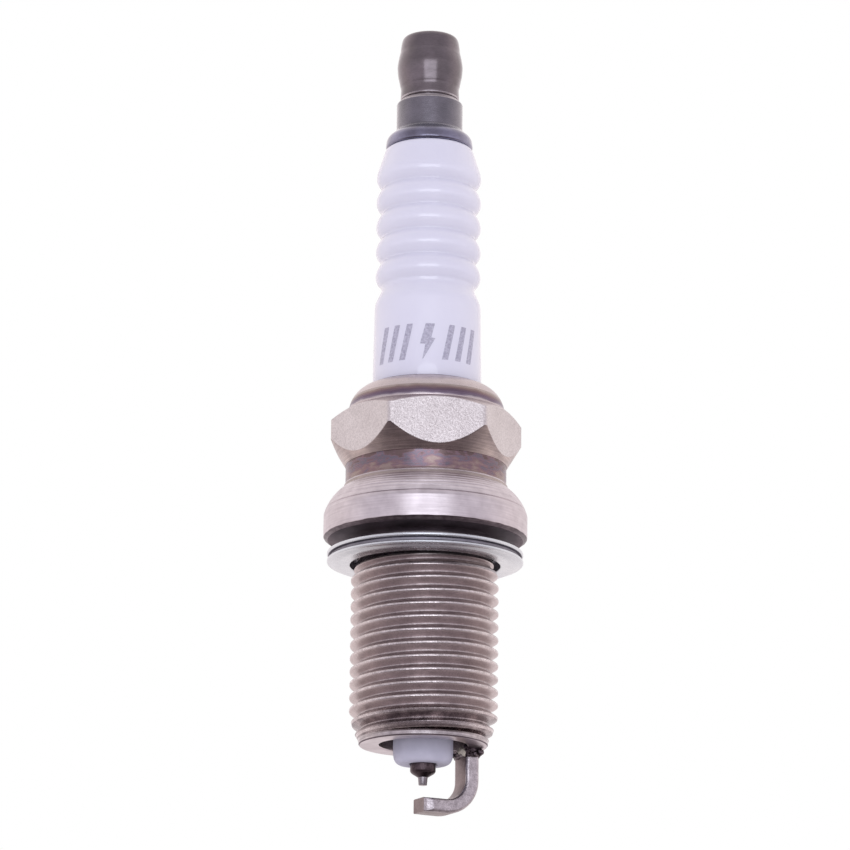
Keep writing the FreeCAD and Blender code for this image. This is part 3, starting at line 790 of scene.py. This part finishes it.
def make_insulator():
    """Glazed body with five ribs; the nose below the glaze line is bare."""
    rise = 0.05
    ribs = []
    z = FIRST_RIB - 11.1
    while z < FIRST_RIB + 0.35:
        ribs.append(Vector((rib_radius(z), z)))
        z += rise
    nose = rounded([
        (1.25, NOSE_END + 0.25),
        (1.32, NOSE_END, 0.12),
        (2.82, NOSE_END, 1.6),
        (2.82, NOSE_END + 2.5, 0.3),
        (3.75, -8.1, 0.3),
        (4.9, -6.95, 0.2),
        (4.9, 1.3, 0.2),
        (6.25, 2.6, 0.3),
        (6.25, 9.3, 0.3),
        (5.25, 9.9, 0.2),
        (BARREL_FOOT_RADIUS, BARREL_FOOT, 0.2),
        (BARREL_TOP_RADIUS, BARREL_TOP, 0.45),
        (4.72, 23.95, 0.35),
        (4.47, 24.5, 0.3),
        (ribs[0].x, ribs[0].y - 0.02),
    ], 6)
    crown = rounded([
        (ribs[-1].x, ribs[-1].y + 0.03),
        (4.9, 36.7, 0.5),
        (4.27, CERAMIC_TOP - 0.25, 0.12),
        (4.08, CERAMIC_TOP - 0.01, 0.1),
        (1.95, CERAMIC_TOP - 0.01, 0.1),
        (1.95, -1.6, 0.1),
        (1.25, -2.0, 0.1),
        (1.25, NOSE_END + 0.25),
    ])
    outline = dense(nose + ribs + crown[:-1], 0.5)
    mesh = Mesh(GLAZE)
    lathe(mesh, outline, finish_of=lambda r, z: BARE_ALUMINA if z < 2 else GLAZE, closed=True)
    mesh.make("insulator_detail", "plug", ["insulator"], crease=50)


MARK_MIDDLE = 18.3
MARK_HALF = 1.75
MARK_SLANT = 0.22


def barrel_radius(z):
    """The glazed barrel's slight taper above its plain foot."""
    rise = max(z - BARREL_FOOT, 0) / (BARREL_TOP - BARREL_FOOT)
    return BARREL_FOOT_RADIUS + (BARREL_TOP_RADIUS - BARREL_FOOT_RADIUS) * rise


def add_print(mesh, left, right, columns=8, rows=30):
    """One printed shape between two edges, left(t) and right(t), where t runs from 0 to 1.

    The edges are distances round the barrel from the front, and t goes up its height.
    """
    loops = []
    for row in range(rows + 1):
        t = row / rows
        z = MARK_MIDDLE + MARK_HALF * (2 * t - 1)
        angles = [
            (left(t) + (right(t) - left(t)) * column / columns) / BARREL_FOOT_RADIUS - TURNS / 4
            for column in range(columns + 1)
        ]
        loop = []
        for lift, path in ((0.015, angles), (-0.03, reversed(angles))):
            r = barrel_radius(z) + lift
            loop += [mesh.add_point(r * math.cos(angle), r * math.sin(angle), z) for angle in path]
        loops.append(loop)
    for lower, upper in zip(loops, loops[1:]):
        mesh.bridge(lower, upper)
    mesh.add_face(loops[0])
    mesh.add_face(loops[-1])


def make_spark_mark():
    """A printed lightning bolt between slanted bars, wrapped round the barrel's front."""
    mesh = Mesh(MARK_INK)

    def slanted(offset):
        return lambda t: offset + MARK_SLANT * MARK_HALF * (2 * t - 1)

    for side in (-1, 1):
        for bar in range(3):
            middle = side * (2.1 + 1.35 * bar)
            add_print(mesh, slanted(middle - 0.3), slanted(middle + 0.3))

    def bolt_left(t):
        lower = -0.45 + 0.6 * t
        upper = -0.72 + 0.95 * (t - 0.42)
        return lower if t < 0.42 else upper

    def bolt_right(t):
        lower = -0.4 + 2.0 * t
        upper = 0.36 + 0.9 * (t - 0.6)
        return lower if t < 0.6 else upper

    add_print(mesh, bolt_left, bolt_right, columns=10, rows=60)
    mesh.make("spark_mark", "plug")


# ---- shell
def flat_radius(angle):
    """Distance from the axis to the hexagon's side in this direction."""
    sixth = TURNS / 6
    away = (angle - HEX_TURN + TURNS / 4 + sixth / 2) % sixth - sixth / 2
    return HEX_APOTHEM / math.cos(away)


def blank_radius(z):
    """The turned blank of the hexagon: top chamfer, corner land and long lower cone."""
    if z > HEX_UPPER_CORNER:
        rise = (z - HEX_UPPER_CORNER) / (HEX_TOP - HEX_UPPER_CORNER)
        return HEX_CORNER + (HEX_TOP_RADIUS - HEX_CORNER) * rise
    if z > HEX_LOWER_CORNER:
        return HEX_CORNER
    rise = (z - GROOVE_TOP) / (HEX_LOWER_CORNER - GROOVE_TOP)
    return GROOVE_RADIUS + (HEX_CORNER - GROOVE_RADIUS) * rise


def make_hexagon(mesh, columns=SHELL_COLUMNS, rows=14, cone_rows=8):
    """Grid round the hexagon, with rows gathered where its flats meet the two cones."""
    near = 0.16
    offsets = [near, 0.08, 0.03, 0, -0.03, -0.08, -near]
    upper_slope = (HEX_TOP - HEX_UPPER_CORNER) / (HEX_CORNER - HEX_TOP_RADIUS)
    lower_slope = (HEX_LOWER_CORNER - GROOVE_TOP) / (HEX_CORNER - GROOVE_RADIUS)
    grid = []
    for column in range(columns):
        angle = TURNS * column / columns + HEX_TURN
        cut = HEX_CORNER - min(flat_radius(angle), HEX_CORNER)
        upper = HEX_UPPER_CORNER + cut * upper_slope
        lower = HEX_LOWER_CORNER - cut * lower_slope
        flat_top, flat_foot, cone_top = upper - near, lower + near, lower - near
        heights = [HEX_TOP, HEX_TOP - 0.03]
        heights += [upper + offset for offset in offsets]
        heights += [flat_top + (flat_foot - flat_top) * row / rows for row in range(1, rows)]
        heights += [lower + offset for offset in offsets]
        heights += [
            cone_top + (GROOVE_TOP - cone_top) * row / cone_rows for row in range(1, cone_rows + 1)
        ]
        line = []
        for z in heights:
            z = min(max(z, GROOVE_TOP), HEX_TOP)
            r = blank_radius(z)
            if GROOVE_TOP < z < HEX_TOP:
                r = smooth_least(r, flat_radius(angle), 0.05)
            line.append(mesh.add_point(r * math.cos(angle), r * math.sin(angle), z))
        grid.append((line, heights, upper, lower))
    for (line, heights, upper, lower), (following, *_) in zip(grid, grid[1:] + grid[:1]):
        for row in range(len(line) - 1):
            middle = (heights[row] + heights[row + 1]) / 2
            finish = HEX_FLAT if lower < middle < upper else HEX_CONE
            if middle >= upper:
                finish = NICKEL
            mesh.add_face([line[row], following[row], following[row + 1], line[row + 1]], finish)


def thread_envelope(z):
    """The blank's radius under the thread: neck, run-out, full thread and tapered end."""
    stations = [(-1.9, NECK_RADIUS), (-3.7, THREAD_RADIUS), (THREAD_TAPER, THREAD_RADIUS)]
    stations += [(-18.6, 6.45), (-19.2, 6.1)]
    if z > stations[0][0]:
        return stations[0][1]
    for (high, wide), (low, narrow) in zip(stations, stations[1:]):
        if z >= low:
            return wide + (narrow - wide) * (high - z) / (high - low)
    return stations[-1][1]


def shell_finish(r, z):
    """The material of each height of the shell's turned surfaces, with painted shade in the bore,
    at the lip's top, round the collar's lower chamfer and the neck, and at the end's edge.
    """
    if r < 6.4 and z < -19:
        if z > REACH + 0.12:
            return LAND_METAL
        # the end's small chamfer is painted dark as a line of shade
        return PAINTED_SHADE_METAL if r > 5.98 else NICKEL_TURNED
    # painted shade inside the shell's bore
    if r < 6.4 and z < LIP_TOP - 0.9:
        return THREAD_PAINTED_SHADE
    zones = [
        # painted shadow line at the lip's top, against the ceramic
        (LIP_TOP - 0.2, PAINTED_SHADE_METAL),
        (HEX_TOP + 1.15, NICKEL),
        (HEX_TOP + 0.12, CRIMP_TINT_AND_SHEEN),
        (HEX_TOP - 0.05, NICKEL),
        (GROOVE_FOOT + 0.06, GROOVE_TINT_AND_SHADOW),
        (GROOVE_FOOT - 0.1, NICKEL_TURNED),
        (GROOVE_FOOT - 0.34, STEP_METAL),
        (CHAMFER_HEIGHT - 0.02, NICKEL_TURNED),
        # painted shade on the collar's lower chamfer
        (0.01, CHAMFER_PAINTED_SHADE),
        # painted shade under the seat and round the neck
        (-0.45, PAINTED_SHADE_METAL),
    ]
    for lowest, finish in zones:
        if z > lowest:
            return finish
    return NICKEL_TURNED


def thread_finish(phase, z):
    """Bright crest and brown lower flank; the upper flank and root get painted shade, and the last
    turns are darker.
    """
    if abs(phase - 0.5) < THREAD_CREST * 0.55:
        return CREST_METAL
    # the last turns are darker
    if z < THREAD_DARK_TOP:
        return THREAD_DARK_END
    # the upper flank and root are painted dark as shade
    return THREAD_METAL if 0.06 < phase < 0.5 else THREAD_PAINTED_SHADE


def burr(angle, r, z):
    """The collar's lower edge wavers a little, and its chamfer, painted dark as shade, is taller in
    front.
    """
    reach, waver_height, front_rise = 0.05, 0.022, 0.14
    near = max(0, 1 - abs(z - CHAMFER_HEIGHT) / reach)
    waver = math.sin(9 * angle) + math.sin(23 * angle + 1) + math.sin(41 * angle + 2)
    front = max(0, -math.sin(angle))
    return r, z + near * (waver_height * waver + front_rise * front**4)


def turn(mesh, outline, shape=None):
    """A lathe that meets the hexagon's grid column by column."""
    lathe(mesh, outline, SHELL_COLUMNS, shell_finish, shape, start_angle=HEX_TURN)


def make_shell():
    """Crimped lip, hexagon, groove, seat collar, neck, rolled thread and open end."""
    mesh = Mesh(NICKEL)
    root = 6.27
    lip = rounded([(5.32, LIP_TOP - 0.5), (5.3, LIP_TOP - 0.08, 0.08), (5.42, LIP_TOP, 0.08)])
    dome = arc((5.42, LIP_TOP), (HEX_TOP_RADIUS - 0.15, HEX_TOP + 0.15), DOME_ROUNDING)
    hex_join = rounded([
        dome[-1],
        (HEX_TOP_RADIUS - 0.16, HEX_TOP + 0.06, 0.03),
        (HEX_TOP_RADIUS - 0.12, HEX_TOP, 0.03),
        (HEX_TOP_RADIUS, HEX_TOP),
    ])
    turn(mesh, lip[:-1] + dome + hex_join[1:])
    make_hexagon(mesh)
    groove = rounded([
        (GROOVE_RADIUS, GROOVE_TOP),
        (GROOVE_RADIUS - 0.05, GROOVE_TOP - 0.04, 0.03),
        (GROOVE_RADIUS - 0.05, GROOVE_FOOT + 0.1, 0.08),
        (GROOVE_RADIUS + 0.03, GROOVE_FOOT + 0.02, 0.05),
        (GROOVE_RADIUS + 0.1, GROOVE_FOOT - 0.08, 0.03),
        (GROOVE_RADIUS + 0.07, GROOVE_FOOT - 0.12, 0.03),
        (GROOVE_RADIUS + 0.12, GROOVE_FOOT - 0.35, 0.05),
        (GROOVE_RADIUS + 0.2, GROOVE_FOOT - 0.4),
    ])
    shoulder = arc(groove[-1], (SEAT_RADIUS, COLLAR_ROUND_FOOT), COLLAR_ROUNDING, 20)
    wall = rounded([
        (SEAT_RADIUS, COLLAR_ROUND_FOOT - 0.05),
        (SEAT_RADIUS, CHAMFER_HEIGHT, 0.04),
        (SEAT_RADIUS - CHAMFER_WIDTH + 0.02, 0.05, 0.01),
        (SEAT_RADIUS - CHAMFER_WIDTH, 0.0, 0.01),
        (6.85, 0, 0.3),
        (NECK_RADIUS, -0.4, 0.3),
        (NECK_RADIUS, THREAD_TOP),
    ])
    turn(mesh, groove[:-1] + score(shoulder) + dense(wall, 0.25), burr)
    wave = screw_profile(THREAD_RADIUS, root)

    def thread_radius(phase, z):
        envelope = thread_envelope(z)
        if phase is None:
            return envelope
        sunk = 0.6 * (THREAD_RADIUS - envelope) if z < THREAD_TAPER else 0
        return smooth_least(envelope, wave(phase) - sunk, 0.04)

    thread_strip(
        mesh,
        THREAD_FOOT,
        THREAD_TOP,
        THREAD_PITCH,
        thread_radius,
        rows_per_turn=22,
        columns=SHELL_COLUMNS,
        finish_of=thread_finish,
        shift=THREAD_SHIFT,
        start_angle=HEX_TURN,
    )
    end = rounded([
        (thread_envelope(THREAD_FOOT), THREAD_FOOT),
        (6.1, -19.2, 0.06),
        (6.06, REACH + 0.12, 0.03),
        (5.97, REACH, 0.03),
        (4.25, REACH, 0.08),
        (4.15, REACH + 0.1, 0.08),
        (4.15, -8.15, 0.1),
        (5.0, -7.3, 0.1),
        (5.0, 0.6, 0.1),
        (6.3, 1.9, 0.1),
        (6.3, 12.8, 0.3),
        (5.5, 14.1, 0.3),
        (5.32, LIP_TOP - 0.5),
    ])
    turn(mesh, end)
    mesh.make("shell_detail", "plug", ["shell"], crease=35)


def score(shoulder):
    """The collar's shoulder with fine turning grooves (height, depth) sunk into it."""
    marks = ((4.65, 0.04), (4.35, 0.05), (4.05, 0.04), (3.75, 0.05), (3.35, 0.04), (2.8, 0.08))
    half_width = 0.07
    scored = []
    for point in dense(shoulder, half_width / 2):
        inward = max(
            depth * max(0, 1 - abs(point.y - mark) / half_width) for mark, depth in marks
        )
        scored.append(Vector((point.x - inward, point.y)))
    return scored


# ---- gasket
def make_gasket():
    """Crush washer folded from one sheet: two layers at the rim and a fold inside."""
    low = GASKET_FOOT
    rim = GASKET_RADIUS
    rim_foot = low + 0.3
    rim_top = rim_foot + 1.05
    gauge = 0.46
    crease = rim - 0.4
    fold_foot = rim_foot + 0.28
    fold_top = rim_top - 0.36
    hole = 7.1
    outline = rounded([
        (hole, low + gauge, 0.06),
        (hole, low + 0.1, 0.1),
        (hole + 0.12, low, 0.12),
        (8.55, low, 0.4),
        (rim - 0.35, rim_foot - 0.04, 0.3),
        (rim, rim_foot, 0.2),
        (rim, fold_foot, 0.14),
        (crease + 0.05, fold_foot + 0.05, 0.05),
        (crease, fold_foot + 0.11, 0.05),
        (crease, fold_top - 0.08, 0.05),
        (crease + 0.05, fold_top - 0.04, 0.05),
        (rim, fold_top, 0.16),
        (rim, rim_top, 0.18),
        (8.1, rim_top, 0.15),
        (7.8, rim_top + 0.15, 0.15),
        (7.2, rim_top + 0.15, 0.15),
        (6.95, rim_top, 0.1),
        (6.5, rim_top - 0.02, 0.1),
        (6.5, rim_top - gauge, 0.1),
        (7.2, rim_top - gauge, 0.08),
    ], 5)

    def finish(r, z):
        in_hole = r < hole + 0.05 and low + 0.15 < z < rim_top - 0.1
        in_fold = 7.3 < r < rim - 0.06 and fold_foot < z < fold_top
        # the hole and the crease get painted shade
        return ZINC_PAINTED_SHADE if in_hole or in_fold else ZINC

    mesh = Mesh(ZINC)
    lathe(mesh, dense(outline, 0.4), finish_of=finish, closed=True)
    mesh.make("crush_gasket_detail", "gasket", ["crush_gasket"])


# ---- electrodes
def make_centre_electrode():
    outline = rounded([
        (0, CONE_FOOT),
        (0.5, CONE_FOOT, 0.05),
        (1.08, CONE_FOOT + 0.36, 0.1),
        (1.2, CONE_FOOT + 0.52, 0.1),
        (1.2, -2.1, 0.1),
        (1.85, -1.65, 0.1),
        (1.85, -0.8, 0.1),
        (1.0, -0.8, 0.1),
        (1.0, 0.2, 0.1),
        (0, 0.2),
    ])
    mesh = Mesh(DARK_NICKEL)
    lathe(mesh, outline, columns=96)
    mesh.make("centre_electrode_detail", "plug", ["centre_electrode"])


def make_firing_tip():
    outline = rounded([
        (0, TIP_END),
        (0.39, TIP_END, 0.04),
        (0.465, CONE_FOOT, 0.02),
        (0, CONE_FOOT),
    ])
    mesh = Mesh(TIP_METAL)
    lathe(mesh, outline, columns=64)
    mesh.make("firing_tip_detail", "plug", ["firing_tip"])


STRAP_THICKNESS = 1.35
STRAP_WIDTH = 2.6
STRAP_END_WIDTH = 2.05
STRAP_OUTER = 5.35
STRAP_BEND = 2.0
STRAP_END = -0.4
STRAP_TAPER_START = 0.5
STRAP_TAPER_LENGTH = 0.6


def strap_path(leg_steps=8, bend_steps=30, arm_steps=24):
    """Centre line of the strap as (radial place, height, direction angle)."""
    half = STRAP_THICKNESS / 2
    leg = STRAP_OUTER - half
    arm = STRAP_FOOT + half
    turn_radius = STRAP_BEND + half
    bend_x, bend_z = leg - turn_radius, arm + turn_radius
    stations = []
    for step in range(leg_steps + 1):
        stations.append((leg, REACH + (bend_z - REACH) * step / leg_steps, -math.pi / 2))
    for step in range(1, bend_steps + 1):
        swing = math.pi / 2 * step / bend_steps
        x = bend_x + turn_radius * math.cos(swing)
        z = bend_z - turn_radius * math.sin(swing)
        stations.append((x, z, -math.pi / 2 - swing))
    for step in range(1, arm_steps + 1):
        stations.append((bend_x + (STRAP_END - bend_x) * step / arm_steps, arm, -math.pi))
    return stations


def strap_section(width, thickness, ease, steps=4):
    """Rounded rectangle as (across, through) points, anticlockwise."""
    points = []
    for turn, (side, face) in enumerate(((1, 1), (-1, 1), (-1, -1), (1, -1))):
        for step in range(steps + 1):
            angle = math.pi / 2 * (turn + step / steps)
            across = side * (width / 2 - ease) + ease * math.cos(angle)
            through = face * (thickness / 2 - ease) + ease * math.sin(angle)
            points.append((across, through))
    return points


def place_on_strap(x, across, z):
    """From the strap's own plane to the frame: x along its direction, across beside it."""
    return (
        x * math.cos(STRAP_TURN) - across * math.sin(STRAP_TURN),
        x * math.sin(STRAP_TURN) + across * math.cos(STRAP_TURN),
        z,
    )


def make_ground_electrode():
    """Rolled strap, bent under the tip and cut narrower at its end."""
    mesh = Mesh(STRAP_METAL)
    rings = []
    for x, z, heading in strap_path():
        narrowing = min(max((STRAP_TAPER_START - x) / STRAP_TAPER_LENGTH, 0), 1)
        width = STRAP_WIDTH - (STRAP_WIDTH - STRAP_END_WIDTH) * narrowing
        ease = 0.3 - 0.18 * narrowing
        out_x, out_z = -math.sin(heading), math.cos(heading)
        rings.append([
            mesh.add_point(*place_on_strap(x + out_x * through, across, z + out_z * through))
            for across, through in strap_section(width, STRAP_THICKNESS, ease)
        ])
    count = len(rings[0])
    broad_faces = (count // 4 - 1, count * 3 // 4 - 1)
    for lower, upper in zip(rings, rings[1:]):
        for index in range(count):
            following = (index + 1) % count
            finish = STRAP_FACE if index in broad_faces else STRAP_METAL
            corners = [lower[index], lower[following], upper[following], upper[index]]
            mesh.add_face(corners, finish)
    mesh.add_face(rings[0])
    mesh.add_face(rings[-1], STRAP_FACE)
    mesh.make(
        "ground_electrode_detail", "plug", ["ground_electrode"], crease=45
    )


def add_droplet(mesh, centre, size, finish, columns=20, rows=12):
    """A lumpy drop of weld metal. Centre is (x, across, z) on the strap's own plane."""
    rings = []
    for row in range(rows + 1):
        tilt = math.pi * (row / rows - 0.5)
        ring = []
        for column in range(columns):
            angle = TURNS * column / columns
            level = math.cos(tilt)
            away = Vector((level * math.cos(angle), level * math.sin(angle), math.sin(tilt)))
            lump = 1 + 0.35 * solid_noise(away * 1.6 + centre * 3)
            ring.append(mesh.add_point(*place_on_strap(*(centre + away * size * lump))))
        rings.append(ring)
    for lower, upper in zip(rings, rings[1:]):
        mesh.bridge(lower, upper, finish)


def make_ground_weld():
    """Lumpy, pitted bead of weld metal round the strap's foot, with drops beside it."""
    mesh = Mesh(WELD_METAL)
    around, layers = 144, 22
    half_width, half_depth = STRAP_WIDTH / 2, STRAP_THICKNESS / 2
    middle = STRAP_OUTER - half_depth
    height = 0.8
    rings = []
    for layer in range(layers + 1):
        t = layer / layers
        drop = height * math.sin(math.pi * t / 2)
        spread = 0.36 * math.cos(math.pi * t / 2) ** 0.6 - 0.06
        ring = []
        for index in range(around):
            angle = TURNS * index / around
            cosine, sine = math.cos(angle), math.sin(angle)
            x = (half_depth + spread) * math.copysign(abs(cosine) ** 0.4, cosine)
            y = (half_width + spread) * math.copysign(abs(sine) ** 0.4, sine)
            lump = solid_noise(Vector((x * 2.2, y * 2.2, drop * 2.6)))
            pit = min(solid_noise(Vector((x * 4.5, y * 4.5, drop * 5 + 7))) + 0.15, 0)
            swell = 1 + (0.16 * lump + 0.3 * pit) * math.sin(math.pi * min(t + 0.15, 1))
            z = REACH - drop * (1 + 0.3 * solid_noise(Vector((x * 1.7, y * 1.7, 3))))
            ring.append(mesh.add_point(*place_on_strap(middle + x * swell, y * swell, z)))
        rings.append(ring)
    for lower, upper in zip(rings, rings[1:]):
        mesh.bridge(lower, upper)
    mesh.add_face(rings[0])
    mesh.add_face(rings[-1])
    droplets = [
        (3.95, -0.95, -0.28, 0.42, SPATTER_METAL),
        (3.95, -0.3, -0.15, 0.36, SPATTER_METAL),
        (3.9, -1.3, 0.1, 0.26, WELD_METAL),
        (5.2, -1.5, -0.3, 0.36, WELD_METAL),
        (4.7, -1.55, -0.5, 0.22, WELD_METAL),
        (5.35, 1.3, -0.25, 0.3, WELD_METAL),
        (4.3, 1.4, -0.2, 0.3, WELD_METAL),
    ]
    for x, across, rise, size, finish in droplets:
        add_droplet(mesh, Vector((x, across, REACH + rise)), size, finish)
    mesh.make("ground_weld_detail", "plug", ["ground_weld"], crease=60)


# ---- inner pieces
def finish_inner_pieces():
    """The sealed pieces keep their CAD meshes and get plain materials."""
    glass = plain("fused_glass", (0.10, 0.08, 0.07), 0.2)
    packing = plain("packing_steel", (0.45, 0.44, 0.43), 0.4, metallic=1.0)
    finishes = {
        "upper_glass_seal": glass,
        "lower_glass_seal": glass,
        "resistor": plain("resistor_carbon", (0.03, 0.03, 0.035), 0.7),
        "electrode_copper_core": plain("copper", (0.72, 0.33, 0.2), 0.3, metallic=1.0),
        "upper_packing_ring": packing,
        "lower_packing_ring": packing,
        "inner_seat_washer": packing,
        "talc_packing": plain("pressed_talc", (0.7, 0.68, 0.62), 0.9),
    }
    for node, material in finishes.items():
        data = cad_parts[node].data
        data.materials.clear()
        data.materials.append(material)


# ---- studio
def make_floor():
    data = bpy.data.meshes.new("floor")
    half = 6.0
    level = -0.30
    corners = [(-half, -half), (half, -half), (half, half), (-half, half)]
    data.from_pydata([(x, y, level) for x, y in corners], [], [(0, 1, 2, 3)])
    pale = (0.9, 0.9, 0.9, 1)
    data.materials.append(new_material("pale_floor", Base_Color=pale, Roughness=0.9)[0])
    floor = add_object("floor", data)
    floor.visible_glossy = False


FRONT_GLOW = [
    (0.0, (0.36, 0.33, 0.34)),
    (0.12, (0.185, 0.15, 0.165)),
    (0.26, (0.21, 0.175, 0.195)),
    (0.38, (0.46, 0.42, 0.46)),
    (0.48, (0.84, 0.80, 0.89)),
    (0.64, (0.86, 0.82, 0.90)),
    (0.72, (0.66, 0.62, 0.69)),
    (0.85, (0.66, 0.63, 0.70)),
    (1.0, (0.95, 0.93, 0.98)),
]
BACK_GLOW = [
    (0.0, (0.38, 0.34, 0.35)),
    (0.10, (0.60, 0.54, 0.55)),
    (0.25, (0.92, 0.84, 0.85)),
    (0.42, (1.04, 0.96, 0.97)),
    (1.0, (1.04, 0.98, 0.99)),
]


def make_world():
    """White studio surround, dimmer on the camera's side and dark low down in front."""
    world = bpy.data.worlds.new("studio")
    bpy.context.scene.world = world
    world.use_nodes = True
    tree = world.node_tree
    tree.nodes.clear()
    direction = add_node(tree, "TexCoord").outputs["Generated"]
    split = add_node(tree, "SeparateXYZ", Vector=direction)
    rise = remap(tree, split.outputs["Z"], -1, 1, 0, 1)
    backness = remap(tree, split.outputs["Y"], -0.45, 0.3, 0, 1)
    front, back = ramp(tree, rise, FRONT_GLOW), ramp(tree, rise, BACK_GLOW)
    surround = add_node(tree, "Background", Color=mix_colours(tree, backness, front, back))
    seen = add_node(tree, "Background", Color=(1, 1, 1, 1))
    choose = add_node(tree, "MixShader", Fac=add_node(tree, "LightPath").outputs["Is Camera Ray"])
    put(tree, choose.inputs[1], surround.outputs["Background"])
    put(tree, choose.inputs[2], seen.outputs["Background"])
    add_node(tree, "OutputWorld", Surface=choose.outputs["Shader"])


def add_light(name, azimuth, elevation, distance, width, height, glow, colour):
    """A soft box aimed at the plug's middle. Azimuth 0 is the -Y side, 90 is +X.

    Glow is how bright its face looks, where 1 is white.
    """
    data = bpy.data.lights.new(name, "AREA")
    data.shape = "RECTANGLE"
    data.size = width
    data.size_y = height
    data.energy = glow * math.pi * width * height
    data.color = colour
    lamp = add_object(name, data)
    swing, lift = math.radians(azimuth), math.radians(elevation)
    level = math.cos(lift)
    away = Vector((math.sin(swing) * level, -math.cos(swing) * level, math.sin(lift)))
    middle = (cad_box[0] + cad_box[1]) / 2
    lamp.location = middle + away * distance
    lamp.rotation_mode = "QUATERNION"
    lamp.rotation_quaternion = away.to_track_quat("Z", "Y")
    return lamp


def make_lights():
    add_light(
        "key", azimuth=1, elevation=4.8, distance=0.9, width=0.72, height=0.40, glow=1.5,
        colour=(0.87, 0.93, 1.0),
    )
    fill = add_light(
        "fill", azimuth=0, elevation=-38, distance=0.46, width=0.3, height=0.24, glow=1.2,
        colour=(0.95, 0.95, 1.0),
    )
    fill.visible_glossy = False


def make_camera():
    """Below the plug's middle and looking up along its front."""
    distance = 400 * MM
    elevation = math.radians(-14.5)
    aim = Vector((-0.14 * MM, 0, 11.41 * MM))
    view_width = 81.14 * MM
    roll = math.radians(0.6)
    data = bpy.data.cameras.new("camera")
    data.sensor_width = 36
    data.lens = data.sensor_width * distance / view_width
    data.clip_start = 0.01
    camera = add_object("camera", data)
    away = Vector((0, -math.cos(elevation), math.sin(elevation)))
    camera.location = aim + away * distance
    camera.rotation_euler = (math.pi / 2 - elevation, 0, 0)
    camera.rotation_euler.rotate_axis("Z", roll)
    bpy.context.scene.camera = camera


make_terminal_nut()
make_terminal_stud()
make_insulator()
make_spark_mark()
make_shell()
make_gasket()
make_centre_electrode()
make_firing_tip()
make_ground_electrode()
make_ground_weld()
finish_inner_pieces()
make_floor()
make_world()
make_lights()
make_camera()
bpy.context.scene.view_settings.view_transform = "Standard"
